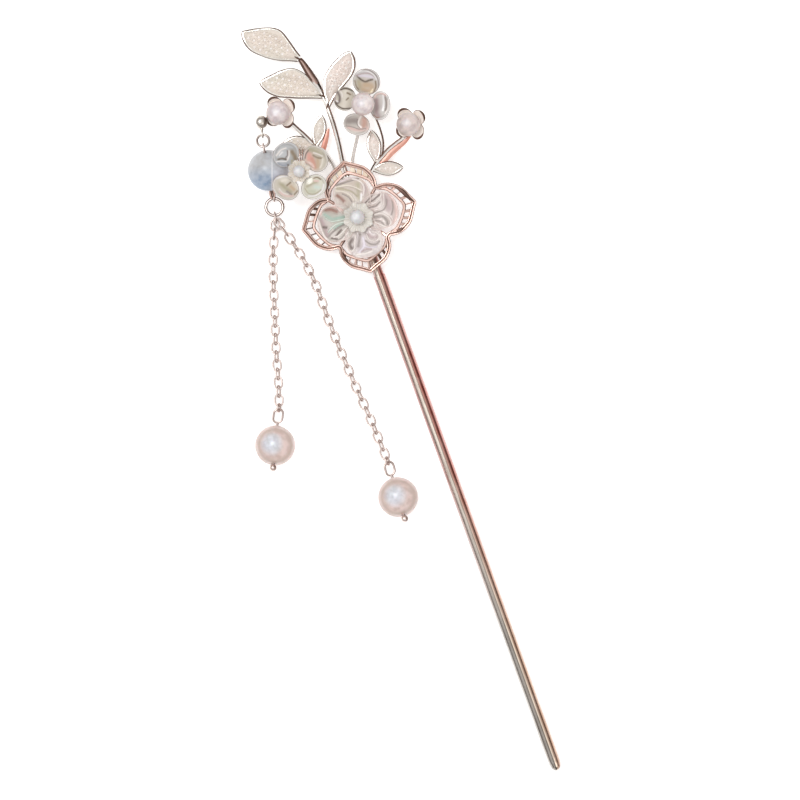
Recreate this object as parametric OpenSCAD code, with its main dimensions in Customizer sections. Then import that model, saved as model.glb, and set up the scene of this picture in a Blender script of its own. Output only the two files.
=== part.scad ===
// Buyao hairpin lying on a table: a straight stick along -Y, a flower frame at its head with the
// face up, sprays of leaves, pearls and clear flowers, and two chain drops on the left.
// Millimetres. The origin is on the stick's axis, just below the flower frame.

/* [Stick] */
// Diameter of the stick
stick_d = 2.4; // [2:0.1:3.2]
// Length of the stick from the flower's middle to its tip
stick_l = 117.3; // [90:1:140]
// Length of the blunt taper at the tip
stick_tip_l = 2.6; // [1.5:0.1:5]
// Diameter of the neck that is hidden under the flower
neck_d = 2; // [1.4:0.1:2]
// Stick left bare between the frame and the origin
stick_reveal = 0.6; // [0.6:0.1:2]

/* [Flower frame] */
// Distance from the flower's middle to a petal's tip
frame_r = 11.6; // [10.5:0.1:13]
// Width of the frame's outer rim
rim_w = 0.9; // [0.6:0.05:1.1]
// Height of the frame's outer rim
rim_h = 1.3; // [0.9:0.05:1.6]
// Distance between the two rims at a petal's tip
rim_gap = 2.1; // [1.6:0.1:2.4]
// Width and height of the inner rim
inner_rim_w = 0.65; // [0.5:0.05:0.8]
// Cross bars between the rims of each petal
bars = 9; // [5:1:11]
// Width of a cross bar
bar_w = 0.42; // [0.3:0.02:0.5]
// Diameter of the hub under the shell flower
hub_d = 9; // [7:0.1:10]
// Thickness of the hub
hub_t = 0.6; // [0.5:0.05:1]

/* [Shell flower] */
// Distance from the middle to the tip of a shell petal
shell_r = 8.2; // [7:0.1:8.6]
// Thickness of the shell
shell_t = 0.7; // [0.5:0.05:1]
// Rise of the shell petals from middle to tip
shell_rise = 1.5; // [0.8:0.1:2.5]
// Diameter of the scalloped stamen cup
stamen_d = 6.2; // [5:0.1:6.8]
// Thickness of the stamen cup
stamen_t = 0.5; // [0.3:0.05:0.6]
// Diameter of the pearl in the middle
centre_pearl_d = 3; // [2.4:0.1:3.6]

/* [Leaf sprig] */
// Length of the sprig from the frame's rim to the top leaf
sprig_l = 22.4; // [20:0.2:25]
// Diameter of the sprig's wire
stem_d = 0.9; // [0.7:0.05:1]
// Width of the band below the top leaf
band_w = 1.5; // [1.1:0.1:1.8]
// Length of the top leaf
top_leaf_l = 12.8; // [11:0.1:14]
// Width of the top leaf
top_leaf_w = 6.3; // [5:0.1:7]
// Length of the left leaf
left_leaf_l = 13; // [11:0.1:14]
// Width of the left leaf
left_leaf_w = 6.3; // [5:0.1:6.8]
// Length of the right leaf
right_leaf_l = 12; // [10:0.1:12.8]
// Width of the right leaf
right_leaf_w = 5; // [4:0.1:5.6]
// Diameter of the wire round a leaf tray
tray_wire_d = 0.7; // [0.5:0.05:0.9]
// Thickness of a leaf tray's floor
tray_t = 0.3; // [0.2:0.05:0.5]
// Height of the granular fill above the tray's floor
fill_h = 0.75; // [0.5:0.05:1]

/* [Pearl branches] */
// Length of the left branch from the frame's rim to its pearl cup
left_branch_l = 16; // [14.5:0.1:17]
// Length of the right branch from the frame's rim to its pearl cup
right_branch_l = 12.4; // [11:0.1:13.5]
// Diameter of the pearls on the branches
branch_pearl_d = 4.8; // [4.2:0.1:5.2]
// Diameter of the four-lobed pearl cups
pearl_cup_d = 6.8; // [6:0.1:7.2]
// Wall of a pearl cup
pearl_cup_t = 0.5; // [0.4:0.05:0.7]
// Lean of a pearl cup
pearl_cup_lean = 22; // [10:1:30]
// Width of the small leaves
small_leaf_w = 2.8; // [2.4:0.1:3]
// Width of the leaf behind the lower clear flower
back_leaf_w = 3.9; // [3.4:0.1:4.4]
// Diameter of the wire round a small leaf
small_wire_d = 0.55; // [0.4:0.05:0.7]

/* [Clear flowers] */
// Reach of the upper clear flower's longest petal
upper_flower_r = 7.2; // [6:0.1:7.6]
// Diameter of the upper clear flower's pearl
upper_pearl_d = 4.6; // [3.6:0.1:5]
// Reach of the lower clear flower's longest petal
lower_flower_r = 6.6; // [5.8:0.1:7]
// Diameter of the lower clear flower's pearl
lower_pearl_d = 2.4; // [2:0.1:2.8]
// Diameter of the cup under the lower pearl
lower_cup_d = 4.6; // [4:0.1:5]
// Thickness of that cup
lower_cup_t = 0.4; // [0.3:0.05:0.5]
// Thickness of a clear petal
clear_t = 0.55; // [0.4:0.05:0.8]
// Rise of the clear petals from middle to tip
clear_rise = 1.9; // [1.4:0.1:2.4]
// Diameter of the wires that carry the clear flowers
flower_wire_d = 0.6; // [0.5:0.05:0.8]

/* [Bead drop] */
// Diameter of the metal ball at the left pearl
ball_d = 2.7; // [2.2:0.1:3]
// Diameter of the wire of eyes and small rings
eye_wire_d = 0.4; // [0.3:0.02:0.44]
// Inner diameter of an eye
eye_hole_d = 1.1; // [1.06:0.02:1.3]
// Length of the oval hanger ring
hanger_ring_l = 3.2; // [3:0.1:3.8]
// Width of the oval hanger ring
hanger_ring_w = 2.9; // [2.6:0.1:3]
// Diameter of the hanger ring's wire
hanger_wire_d = 0.5; // [0.4:0.02:0.54]
// Diameter of the blue bead
bead_d = 8.2; // [7:0.1:8.6]
// Slope of the bead's pin, upper eye raised
bead_tilt = 28; // [22:1:32]
// Diameter of the pins
pin_d = 0.6; // [0.5:0.05:0.8]
// Outer diameter of the ring under the bead
drop_ring_d = 3.9; // [3.4:0.1:4.4]
// Diameter of that ring's wire
drop_ring_wire_d = 0.5; // [0.4:0.02:0.56]
// Outer diameter of the link that holds both chains
fork_d = 2.6; // [2.5:0.1:2.8]

/* [Chains] */
// Outer length of a chain link
link_l = 2.7; // [2.5:0.05:3]
// Outer width of a chain link
link_w = 2; // [1.8:0.05:2]
// Diameter of a chain link's wire
link_wire_d = 0.36; // [0.3:0.02:0.4]

/* [Drop pearls] */
// Diameter of the drop pearls
drop_pearl_d = 8; // [7:0.1:9]
// Outer diameter of the ring at a chain's end
end_ring_d = 2; // [2:0.05:2.4]
// Outer length of a drop pin's loop
loop_l = 3.4; // [3:0.1:4]
// Outer width of a drop pin's loop
loop_w = 2.4; // [2.2:0.1:2.8]
// Diameter of a loop's wire
loop_wire_d = 0.45; // [0.36:0.02:0.5]
// Diameter of the ball at a drop pin's end
end_ball_d = 1.4; // [1.2:0.05:1.8]

/* [Fit] */
// Clearance between pieces that carry each other
gap = 0.1; // [0.1:0.01:0.16]

/* [Hidden] */

rose_gold = [0.86, 0.66, 0.58];
pale_metal = [0.82, 0.76, 0.70];
pearl_white = [0.90, 0.86, 0.86];
granule_cream = [0.93, 0.90, 0.85];
clear_tint = [0.80, 0.82, 0.80];
shell_tint = [0.90, 0.85, 0.86];
bead_blue = [0.62, 0.69, 0.78];

// Heights, from the stick's axis
floor_z = -stick_d / 2;
flower_c = [0, frame_r + rim_w / 2 + stick_reveal, 0];
hub_z = stick_d / 2 + gap;
rim_z = hub_z + 0.5 + rim_h / 2;
root_z = rim_z - rim_h / 2 - gap - stem_d / 2;
shell_z = hub_z + hub_t + gap;
stamen_z = shell_z + shell_t + gap;
tray_z = root_z + 0.8;
// Underside of a tray's floor, as a share of its wire, from the wire's middle
floor_drop = -0.4;
leaf_top_z = tray_z + floor_drop * tray_wire_d + tray_t + gap + fill_h;
upper_flower_z = leaf_top_z + 0.6;

// Frame petals: heading of the tip, share of frame_r
FRAME_PETALS = [[-4, 1], [85, 0.975], [172.5, 0.965], [263, 0.935]];
// angle from the tip, outer rim's share of frame_r
RIM_REACH = [[0, 1], [8, 0.935], [15, 0.9], [22, 0.862], [31, 0.776], [37, 0.7], [42, 0.62], [45, 0.6]];
rim_angles = [-42, -37, -31, -22, -15, -8, 0, 8, 15, 22, 31, 37, 42, 45];
// angle from the tip, share of rim_gap between the two rims
RIM_APART = [[0, 1], [8, 0.86], [22, 0.78], [31, 0.5], [42, 0.12]];
inner_angles = [-40, -31, -22, -12, 0, 12, 22, 31, 40];
bar_span = 32;

// Small helpers
function unit(v) = v / norm(v);
function dir(turn, tilt = 0) = [cos(turn) * cos(tilt), sin(turn) * cos(tilt), -sin(tilt)];
function polar(r, a) = [r * cos(a), r * sin(a), 0];
function at(xy, z) = flower_c + [xy[0], xy[1], z];
function flat(v) = [v[0], v[1], 0];
function turn_of(v) = atan2(v[1], v[0]);
function blend4(a, b, c, d, t) =
    ((2 * b) + (c - a) * t + (2 * a - 5 * b + 4 * c - d) * t * t
        + (3 * b - a - 3 * c + d) * t * t * t) / 2;
// A smooth curve through the points, n steps between neighbours
function curve(p, n) = [
    for (i = [0:len(p) - 2]) for (k = [0:n - 1])
        blend4(p[max(i - 1, 0)], p[i], p[i + 1], p[min(i + 2, len(p) - 1)], k / n),
    p[len(p) - 1]];
// The point at distance s along a row of points
function walk(p, s, i = 0) =
    let (step = norm(p[i + 1] - p[i]))
    i == len(p) - 2 || s <= step ? p[i] + unit(p[i + 1] - p[i]) * s : walk(p, s - step, i + 1);
function path_length(p, i = 0) = i >= len(p) - 1 ? 0 : norm(p[i + 1] - p[i]) + path_length(p, i + 1);

// A wire of elliptical section swept along points, closed or with flat ends
module wire(p, w, h, closed = false, sides = 6) {
    n = len(p);
    rings = [for (i = [0:n - 1])
        let (before = closed ? p[(i + n - 1) % n] : p[max(i - 1, 0)],
            after = closed ? p[(i + 1) % n] : p[min(i + 1, n - 1)],
            along = unit(after - before),
            side = unit(cross(along, [0, 0, 1])),
            up = cross(side, along))
        for (k = [0:sides - 1])
            p[i] + side * cos(360 * (k + 0.5) / sides) * w / 2
                + up * sin(360 * (k + 0.5) / sides) * h / 2];
    last = closed ? n - 1 : n - 2;
    walls = [for (i = [0:last]) for (k = [0:sides - 1])
        let (j = (i + 1) % n, m = (k + 1) % sides)
        [i * sides + k, i * sides + m, j * sides + m, j * sides + k]];
    ends = closed ? [] : [[for (k = [sides - 1:-1:0]) k], [for (k = [0:sides - 1]) (n - 1) * sides + k]];
    polyhedron(rings, concat(walls, ends), convexity = 8);
}

// A stem of short round lengths, each as thick as its two ends say
module stem(p, d) {
    for (i = [0:len(p) - 2]) hull() {
        translate(p[i]) sphere(d = d[i], $fn = 8);
        translate(p[i + 1]) sphere(d = d[i + 1], $fn = 8);
    }
}

// A thin cupped form: a reach for each of evenly spaced angles, rising towards its edge
module cupped(reach, full, t, rise, lift, rings = 4) {
    n = len(reach);
    function level(r, s) = rise * pow(r / full, 1.6) + lift * pow(s, 3) * pow(r / full, 2);
    function spot(i, s, top) = let (r = reach[i] * s)
        polar(r, 360 * i / n) + [0, 0, level(r, s) + top * t * (1 - 0.45 * s)];
    points = concat(
        [for (top = [1, 0]) for (j = [1:rings]) for (i = [0:n - 1]) spot(i, j / rings, top)],
        [[0, 0, t], [0, 0, 0]]);
    upper = 0;
    lower = n * rings;
    rim = n * (rings - 1);
    faces = concat(
        [for (i = [0:n - 1]) [2 * n * rings, (i + 1) % n, i]],
        [for (i = [0:n - 1]) [2 * n * rings + 1, lower + i, lower + (i + 1) % n]],
        [for (j = [0:rings - 2]) for (i = [0:n - 1]) let (a = j * n + i, b = j * n + (i + 1) % n)
            each [[a, b, b + n], [a, b + n, a + n]]],
        [for (j = [0:rings - 2]) for (i = [0:n - 1])
            let (a = lower + j * n + i, b = lower + j * n + (i + 1) % n)
            each [[a, b + n, b], [a, a + n, b + n]]],
        [for (i = [0:n - 1]) let (a = rim + i, b = rim + (i + 1) % n)
            each [[a, b, lower + b], [a, lower + b, lower + a]]]);
    polyhedron(points, faces, convexity = 6);
}

// Reach at one angle of an oval petal whose middle is at c, with half axes a along and b across
function oval_reach(phi, c, a, b) =
    let (k = pow(cos(phi) / a, 2) + pow(sin(phi) / b, 2),
        h = c * cos(phi) / (a * a),
        rest = h * h - k * (c * c / (a * a) - 1))
    cos(phi) <= 0 || rest < 0 ? 0 : (h + sqrt(rest)) / k;
// Petals are rows of turn, reach, length and width of the oval, as shares of size
function petal_reaches(petals, size, core, n) = [for (i = [0:n - 1])
    max(core * size, max([for (q = petals)
        oval_reach(360 * i / n - q[0], (q[1] - q[2] / 2) * size, q[2] / 2 * size, q[3] / 2 * size)]))];

// A ring or link in its own XY plane, long axis along X
module ring(l, w, d) {
    r = (w - d) / 2;
    half = (l - w) / 2;
    if (half > 0) for (s = [-1, 1]) {
        translate([s * half, 0, 0]) rotate([0, 0, s > 0 ? -90 : 90])
            rotate_extrude(angle = 180, $fn = 48) translate([r, 0]) circle(d = d, $fn = 24);
        translate([-half, s * r, 0]) rotate([0, 90, 0]) cylinder(d = d, h = 2 * half, $fn = 24);
    }
    else rotate_extrude($fn = 48) translate([r, 0]) circle(d = d, $fn = 24);
}

// Moves a piece drawn along +X to p, heading turn, nose down by tilt, rolled about its length
module place(p, turn, tilt = 0, roll = 0) {
    translate(p) rotate([0, tilt, turn]) rotate([roll, 0, 0]) children();
}

// Stick
module hair_stick() {
    r = stick_d / 2;
    tip = stick_l - flower_c[1];
    // share of the taper's length from its start, share of the stick's radius
    TAPER = [[0.4, 0.94], [0.75, 0.76], [0.93, 0.48], [1, 0.22]];
    profile = concat(
        [[0, -flower_c[1] - neck_d], [neck_d / 2, -flower_c[1] - neck_d], [neck_d / 2, -stick_reveal + gap],
            [r, -stick_reveal + gap], [r, tip - stick_tip_l]],
        [for (q = TAPER) [r * q[1], tip - stick_tip_l * (1 - q[0])]],
        [[0, tip]]);
    color(pale_metal) rotate([90, 0, 0]) rotate_extrude($fn = 64) polygon(profile);
}

// Flower frame
function rim_reach(a, petal) = frame_r * lookup(abs(a), RIM_REACH) * (1 + (petal[1] - 1) * cos(2 * a));
function rim_at(a, petal) = at(polar(rim_reach(a, petal), petal[0] + a), rim_z);
function inner_at(a, petal) =
    at(polar(rim_reach(a, petal) - rim_gap * lookup(abs(a), RIM_APART), petal[0] + a), rim_z);
module flower_frame() {
    color(rose_gold) {
        wire([for (q = FRAME_PETALS) for (a = rim_angles) rim_at(a, q)], rim_w, rim_h, closed = true);
        for (q = FRAME_PETALS) {
            wire([for (a = inner_angles) inner_at(a, q)], inner_rim_w, inner_rim_w);
            for (k = [0:bars - 1]) {
                a = bar_span * (2 * k / (bars - 1) - 1);
                hull() {
                    translate(rim_at(a, q)) cube(bar_w, center = true);
                    translate(inner_at(a, q)) cube(bar_w, center = true);
                }
            }
            hull() {
                translate(at(polar(hub_d / 2 - hub_t, q[0] + 45), hub_z + hub_t / 2))
                    cube([rim_w, rim_w, hub_t], center = true);
                translate(rim_at(45, q) - [0, 0, rim_h / 4]) cube([rim_w, rim_w, rim_h / 2], center = true);
            }
        }
        translate(at([0, 0], hub_z)) cylinder(d = hub_d, h = hub_t, $fn = 48);
    }
}

// Shell flower, its stamen cup and pearl
// turn, reach, length and width of each petal's oval as shares of the flower's size
SHELL_PETALS = [for (q = FRAME_PETALS) [q[0] + 2, 1, 0.68, 0.88]];
module shell_flower() {
    color(shell_tint) translate(at([0, 0], shell_z))
        cupped(petal_reaches(SHELL_PETALS, shell_r, 0.5, 60), shell_r, shell_t, shell_rise, 0.5);
}
stamen_rise = 0.9;
cup_lobes = 8;
function scalloped(d, lobes, n) = [for (i = [0:n - 1]) d / 2 * (0.93 + 0.07 * cos(360 * lobes * i / n))];
module stamen_cup() {
    color(clear_tint) translate(at([0, 0], stamen_z))
        cupped(scalloped(stamen_d, cup_lobes, 48), stamen_d / 2, stamen_t, stamen_rise, 0.2, 2);
}
module centre_pearl() {
    color(pearl_white) translate(at([-0.2, 0.2], stamen_z + stamen_t + 1.5 * gap + centre_pearl_d / 2))
        sphere(d = centre_pearl_d, $fn = 48);
}

// Leaves: share of the length from base to tip, shares of the width left and right of the midrib
TOP_LEAF = [[0, 0.05, 0.05], [0.1, 0.13, 0.16], [0.27, 0.29, 0.38], [0.45, 0.39, 0.57], [0.6, 0.42, 0.53],
    [0.75, 0.41, 0.36], [0.88, 0.28, 0.17], [0.96, 0.13, 0.06], [1, 0, 0]];
LEFT_LEAF = [[0, 0.04, 0.05], [0.1, 0.08, 0.2], [0.2, 0.13, 0.35], [0.36, 0.21, 0.59], [0.53, 0.27, 0.68],
    [0.68, 0.31, 0.56], [0.83, 0.25, 0.31], [0.94, 0.13, 0.12], [1, 0, 0]];
RIGHT_LEAF = [[0, 0.05, 0.05], [0.08, 0.12, 0.07], [0.2, 0.36, 0.11], [0.42, 0.57, 0.26], [0.63, 0.51, 0.41],
    [0.79, 0.37, 0.39], [0.91, 0.22, 0.24], [0.97, 0.1, 0.1], [1, 0, 0]];
SMALL_LEAF = [[0, 0.05, 0.05], [0.1, 0.16, 0.16], [0.25, 0.35, 0.35], [0.42, 0.48, 0.48], [0.58, 0.5, 0.5],
    [0.74, 0.4, 0.4], [0.88, 0.21, 0.21], [1, 0, 0]];
function leaf_outline(l, w, shape) = concat([for (q = shape) [q[0] * l, q[1] * w]],
    [for (i = [len(shape) - 2:-1:0]) [shape[i][0] * l, -shape[i][2] * w]]);
module leaf_tray(l, w, shape, d) {
    wire([for (q = leaf_outline(l - d, w - d, shape)) [q[0] + d / 2, q[1], 0]], d, d, closed = true);
    translate([d / 2, 0, floor_drop * d]) linear_extrude(tray_t) polygon(leaf_outline(l - d, w - d, shape));
}
module leaf_fill(l, w, shape, d, h = fill_h) {
    translate([d / 2, 0, floor_drop * d + tray_t + gap]) hull() {
        linear_extrude(h / 2) offset(delta = -d / 2 - gap) polygon(leaf_outline(l - d, w - d, shape));
        linear_extrude(h) offset(delta = -d / 2 - gap - w / 8) polygon(leaf_outline(l - d, w - d, shape));
    }
}

// The sprig: share of sprig_l across and along, then share of the way from wire to band
sprig_root = at(polar(frame_r * 0.985, 86), root_z);
SPRIG = [[0, 0, 0], [0.025, 0.18, 0], [0.04, 0.36, 0], [0.04, 0.52, 0], [0.035, 0.62, 0.1],
    [0.03, 0.69, 0.3], [0.01, 0.77, 1], [-0.012, 0.86, 1], [-0.035, 0.96, 0.4], [-0.05, 1, 0]];
sprig_top_z = tray_z - root_z;
function sprig_spot(q) = sprig_root + [q[0] * sprig_l, q[1] * sprig_l, sprig_top_z * min(1, 2.5 * q[1])];
// Leaves on the sprig: row of SPRIG that carries it, heading
top_leaf = [9, 135];
left_leaf = [4, 148];
right_leaf = [3, 47];
module on_sprig(leaf) {
    place(sprig_spot(SPRIG[leaf[0]]), leaf[1]) children();
}
module leaf_sprig() {
    color(rose_gold) {
        stem(concat([sprig_root - [0, rim_gap + 0.8, 0]], [for (q = SPRIG) sprig_spot(q)]),
            concat([stem_d], [for (q = SPRIG) stem_d + (band_w - stem_d) * q[2]]));
        on_sprig(top_leaf) leaf_tray(top_leaf_l, top_leaf_w, TOP_LEAF, tray_wire_d);
        on_sprig(left_leaf) leaf_tray(left_leaf_l, left_leaf_w, LEFT_LEAF, tray_wire_d);
        on_sprig(right_leaf) leaf_tray(right_leaf_l, right_leaf_w, RIGHT_LEAF, tray_wire_d);
    }
}
module top_leaf_fill() {
    color(granule_cream) on_sprig(top_leaf) leaf_fill(top_leaf_l, top_leaf_w, TOP_LEAF, tray_wire_d);
}
module left_leaf_fill() {
    color(granule_cream) on_sprig(left_leaf) leaf_fill(left_leaf_l, left_leaf_w, LEFT_LEAF, tray_wire_d);
}
module right_leaf_fill() {
    color(granule_cream) on_sprig(right_leaf)
        leaf_fill(right_leaf_l, right_leaf_w, RIGHT_LEAF, tray_wire_d);
}

// Pearl branches
// share of the branch's length across and along from its root
LEFT_BRANCH = [[0.06, -0.14], [0, 0], [-0.015, 0.13], [-0.06, 0.3], [-0.13, 0.38], [-0.21, 0.55],
    [-0.32, 0.76], [-0.355, 0.88], [-0.36, 0.93]];
RIGHT_BRANCH = [[-0.12, -0.12], [0, 0], [0.1, 0.08], [0.23, 0.15], [0.36, 0.22], [0.5, 0.27], [0.64, 0.32],
    [0.88, 0.48]];
// The thin vine beside the right branch's upper leaf
VINE = [[0.2, 0.13], [0.3, 0.33], [0.33, 0.55], [0.32, 0.85]];
left_root = at(polar(frame_r * 0.88, 96), root_z);
right_root = at(polar(frame_r * 0.87, 54), root_z);
cup_z = root_z + 0.6;
function branch_spot(root, l, q) = root + [q[0] * l, q[1] * l, (cup_z - root_z) * max(0, q[1])];
left_cup = branch_spot(left_root, left_branch_l, LEFT_BRANCH[8]);
right_cup = branch_spot(right_root, right_branch_l, RIGHT_BRANCH[7]);
CUP_PETALS = [for (k = [0:3]) [20 + 90 * k, 1, 0.8, 0.84]];
module pearl_cup() {
    cupped(petal_reaches(CUP_PETALS, pearl_cup_d / 2, 0.6, 32), pearl_cup_d / 2, pearl_cup_t, 1.3, 0.3, 3);
}
cup_lift = pearl_cup_t + gap + 0.1 + branch_pearl_d / 2;
cup_axis = [-sin(pearl_cup_lean), 0, cos(pearl_cup_lean)];
// Small leaves: length, heading
left_small = [6.5, 60];
back_leaf = [7, 157];
right_small_a = [6.6, 79];
right_small_b = [6.2, -16];
small_fill_h = fill_h * 0.66;
left_small_p = branch_spot(left_root, left_branch_l, LEFT_BRANCH[4]);
back_leaf_p = left_small_p;
right_small_a_p = branch_spot(right_root, right_branch_l, RIGHT_BRANCH[2]);
right_small_b_p = branch_spot(right_root, right_branch_l, RIGHT_BRANCH[1]);
module left_branch() {
    color(rose_gold) {
        stem([for (q = LEFT_BRANCH) branch_spot(left_root, left_branch_l, q)],
            [for (q = LEFT_BRANCH) stem_d]);
        translate(left_cup) rotate([0, -pearl_cup_lean, 0]) pearl_cup();
        place(left_small_p, left_small[1]) leaf_tray(left_small[0], small_leaf_w, SMALL_LEAF, small_wire_d);
        place(back_leaf_p, back_leaf[1]) leaf_tray(back_leaf[0], back_leaf_w, SMALL_LEAF, small_wire_d);
    }
}
module left_small_fill() {
    color(granule_cream) place(left_small_p, left_small[1])
        leaf_fill(left_small[0], small_leaf_w, SMALL_LEAF, small_wire_d, small_fill_h);
}
module back_leaf_fill() {
    color(granule_cream) place(back_leaf_p, back_leaf[1])
        leaf_fill(back_leaf[0], back_leaf_w, SMALL_LEAF, small_wire_d, small_fill_h);
}
module right_branch() {
    color(rose_gold) {
        stem([for (q = RIGHT_BRANCH) branch_spot(right_root, right_branch_l, q)],
            [for (q = RIGHT_BRANCH) stem_d]);
        translate(right_cup) rotate([0, -pearl_cup_lean, 0]) pearl_cup();
        stem([for (q = VINE) branch_spot(right_root, right_branch_l, q)], [for (q = VINE) small_wire_d]);
        place(right_small_a_p, right_small_a[1])
            leaf_tray(right_small_a[0], small_leaf_w, SMALL_LEAF, small_wire_d);
        place(right_small_b_p, right_small_b[1])
            leaf_tray(right_small_b[0], small_leaf_w, SMALL_LEAF, small_wire_d);
    }
}
module right_small_fill_a() {
    color(granule_cream) place(right_small_a_p, right_small_a[1])
        leaf_fill(right_small_a[0], small_leaf_w, SMALL_LEAF, small_wire_d, small_fill_h);
}
module right_small_fill_b() {
    color(granule_cream) place(right_small_b_p, right_small_b[1])
        leaf_fill(right_small_b[0], small_leaf_w, SMALL_LEAF, small_wire_d, small_fill_h);
}
left_pearl_c = left_cup + cup_axis * cup_lift;
right_pearl_c = right_cup + cup_axis * cup_lift;
module left_pearl() {
    color(pearl_white) translate(left_pearl_c) sphere(d = branch_pearl_d, $fn = 48);
}
module right_pearl() {
    color(pearl_white) translate(right_pearl_c) sphere(d = branch_pearl_d, $fn = 48);
}

// Clear flowers
// turn, reach, length and width of each petal's oval as shares of the flower's size
UPPER_PETALS = [[61, 1, 0.72, 0.76], [143, 0.82, 0.6, 0.66], [233, 0.88, 0.6, 0.74], [-24, 0.76, 0.56, 0.8]];
LOWER_PETALS = [[17, 0.98, 0.7, 0.84], [108, 1, 0.72, 0.82], [211, 0.98, 0.7, 0.86], [294, 1, 0.7, 0.82]];
// Where each flower's middle stands, from where its wire leaves the frame or the branch
UPPER_PLACE = [5.917, 9.71];
LOWER_PLACE = [-6.933, 2.448];
petal_lift = 0.5;
upper_root = at(polar(frame_r * 0.99, 77), root_z);
upper_flower_c = [upper_root[0] + UPPER_PLACE[0], upper_root[1] + UPPER_PLACE[1], upper_flower_z];
module clear_flower(petals, r, core) {
    color(clear_tint) cupped(petal_reaches(petals, r, core, 48), r, clear_t, clear_rise, petal_lift);
}
module upper_flower() {
    translate(upper_flower_c) clear_flower(UPPER_PETALS, upper_flower_r, 0.28);
}
module upper_flower_pearl() {
    color(pearl_white) translate(upper_flower_c + [0, 0, clear_t + gap + upper_pearl_d / 2])
        sphere(d = upper_pearl_d, $fn = 48);
}
module upper_flower_wire() {
    end = upper_flower_c - [0, 0, gap + flower_wire_d / 2];
    knee = upper_root + (flat(end) - flat(upper_root)) * 0.5 + [0, 0, 0.7];
    start = upper_root - [0.4, rim_gap + 0.4, 0];
    color(rose_gold) wire(curve([start, upper_root, knee, end], 4), flower_wire_d, flower_wire_d);
}
// The lower flower stands over the bead, at a share of its height
lower_flower_z = floor_z + bead_d * 0.79;
lower_flower_c = [left_root[0] + LOWER_PLACE[0], left_root[1] + LOWER_PLACE[1], lower_flower_z];
lower_cup_z = clear_t + gap + 0.25;
lower_pearl_z = lower_cup_z + lower_cup_t + gap + 0.05 + lower_pearl_d / 2;
module lower_flower() {
    translate(lower_flower_c) clear_flower(LOWER_PETALS, lower_flower_r, 0.3);
}
module lower_flower_cup() {
    color(clear_tint) translate(lower_flower_c + [0, 0, lower_cup_z])
        cupped(scalloped(lower_cup_d, cup_lobes, 48), lower_cup_d / 2, lower_cup_t, 0.9, 0.1, 2);
}
module lower_flower_pearl() {
    color(pearl_white) translate(lower_flower_c + [0, 0, lower_pearl_z]) sphere(d = lower_pearl_d, $fn = 48);
}
module lower_flower_wire() {
    start = branch_spot(left_root, left_branch_l, LEFT_BRANCH[2])
        - [stem_d / 2 + flower_wire_d / 2 + gap, 0, 0];
    end = lower_flower_c - [0, 0, gap + flower_wire_d / 2];
    knee = [start[0] * 0.55 + end[0] * 0.45, start[1] * 0.55 + end[1] * 0.45, start[2] * 0.6 + end[2] * 0.4];
    color(rose_gold) wire(curve([start, knee, end], 5), flower_wire_d, flower_wire_d);
}

// Bead drop, each piece hung from the one before
eye_d = eye_hole_d + 2 * eye_wire_d;
ball_neck = 0.1;
// Diameter of the ball's two pegs, one to its eye and one to the pearl cup
peg_d = eye_wire_d * 1.6;
hang_turn = -103;
bead_turn = -99;
bead_neck = 1;
drop_turn = -105;
fork_turn = -100;
// How far a wire's middle may sit off the middle of a round hole that it passes through
function slack(hole_d, wire_d) = hole_d / 2 - wire_d / 2 - gap;
ball_c = left_pearl_c - [(branch_pearl_d + ball_d) / 2 + gap, 0.5, 0.6];
ball_eye = ball_c + dir(hang_turn) * (ball_d / 2 + ball_neck + eye_d / 2);
pin_up = eye_d / 2 + gap + bead_d / 2;
pin_down = bead_d / 2 + gap + bead_neck + eye_d / 2;
top_eye_z = floor_z + bead_d / 2 + pin_up * sin(bead_tilt);
hanger_run = hanger_ring_l - hanger_wire_d;
hanger_tilt = asin((ball_eye[2] - top_eye_z) / hanger_run);
hanger_top = ball_eye + dir(hang_turn) * slack(eye_hole_d, hanger_wire_d);
top_eye = hanger_top + dir(hang_turn, hanger_tilt) * hanger_run
    + dir(hang_turn) * slack(eye_hole_d, hanger_wire_d);
bead_c = top_eye + dir(bead_turn, bead_tilt) * pin_up;
low_eye = bead_c + dir(bead_turn, bead_tilt) * pin_down;
fork_hole_d = fork_d - 2 * eye_wire_d;
fork_z = floor_z + fork_d / 2 + gap / 2;
drop_run = drop_ring_d - drop_ring_wire_d;
drop_tilt = asin((low_eye[2] - fork_z) / drop_run);
drop_top = low_eye + dir(drop_turn) * slack(eye_hole_d, drop_ring_wire_d);
fork_c = drop_top + dir(drop_turn, drop_tilt) * drop_run
    + dir(fork_turn) * slack(fork_hole_d, drop_ring_wire_d) * 0.8;

module eye(p, turn, tilt = 0) {
    place(p, turn, tilt, 90) ring(eye_d, eye_d, eye_wire_d);
}
module hanger_ball() {
    color(pale_metal) {
        place(ball_c, hang_turn) rotate([0, 90, 0]) {
            sphere(d = ball_d, $fn = 48);
            cylinder(d = peg_d, h = ball_d / 2 + ball_neck + eye_wire_d / 2, $fn = 24);
        }
        eye(ball_eye, hang_turn);
        place(ball_c, -8, 52) rotate([0, 90, 0]) cylinder(d = peg_d, h = ball_d / 2 + 0.6, $fn = 24);
    }
}
module hanger_ring() {
    color(pale_metal) place(hanger_top, hang_turn, hanger_tilt)
        translate([hanger_run / 2, 0, 0]) ring(hanger_ring_l, hanger_ring_w, hanger_wire_d);
}
module bead_pin() {
    color(rose_gold) {
        eye(top_eye, bead_turn, bead_tilt);
        place(top_eye, bead_turn, bead_tilt) translate([(eye_d - eye_wire_d) / 2, 0, 0]) rotate([0, 90, 0])
            cylinder(d = pin_d, h = pin_up + pin_down - eye_d + eye_wire_d, $fn = 24);
        eye(low_eye, bead_turn, bead_tilt);
    }
}
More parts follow.
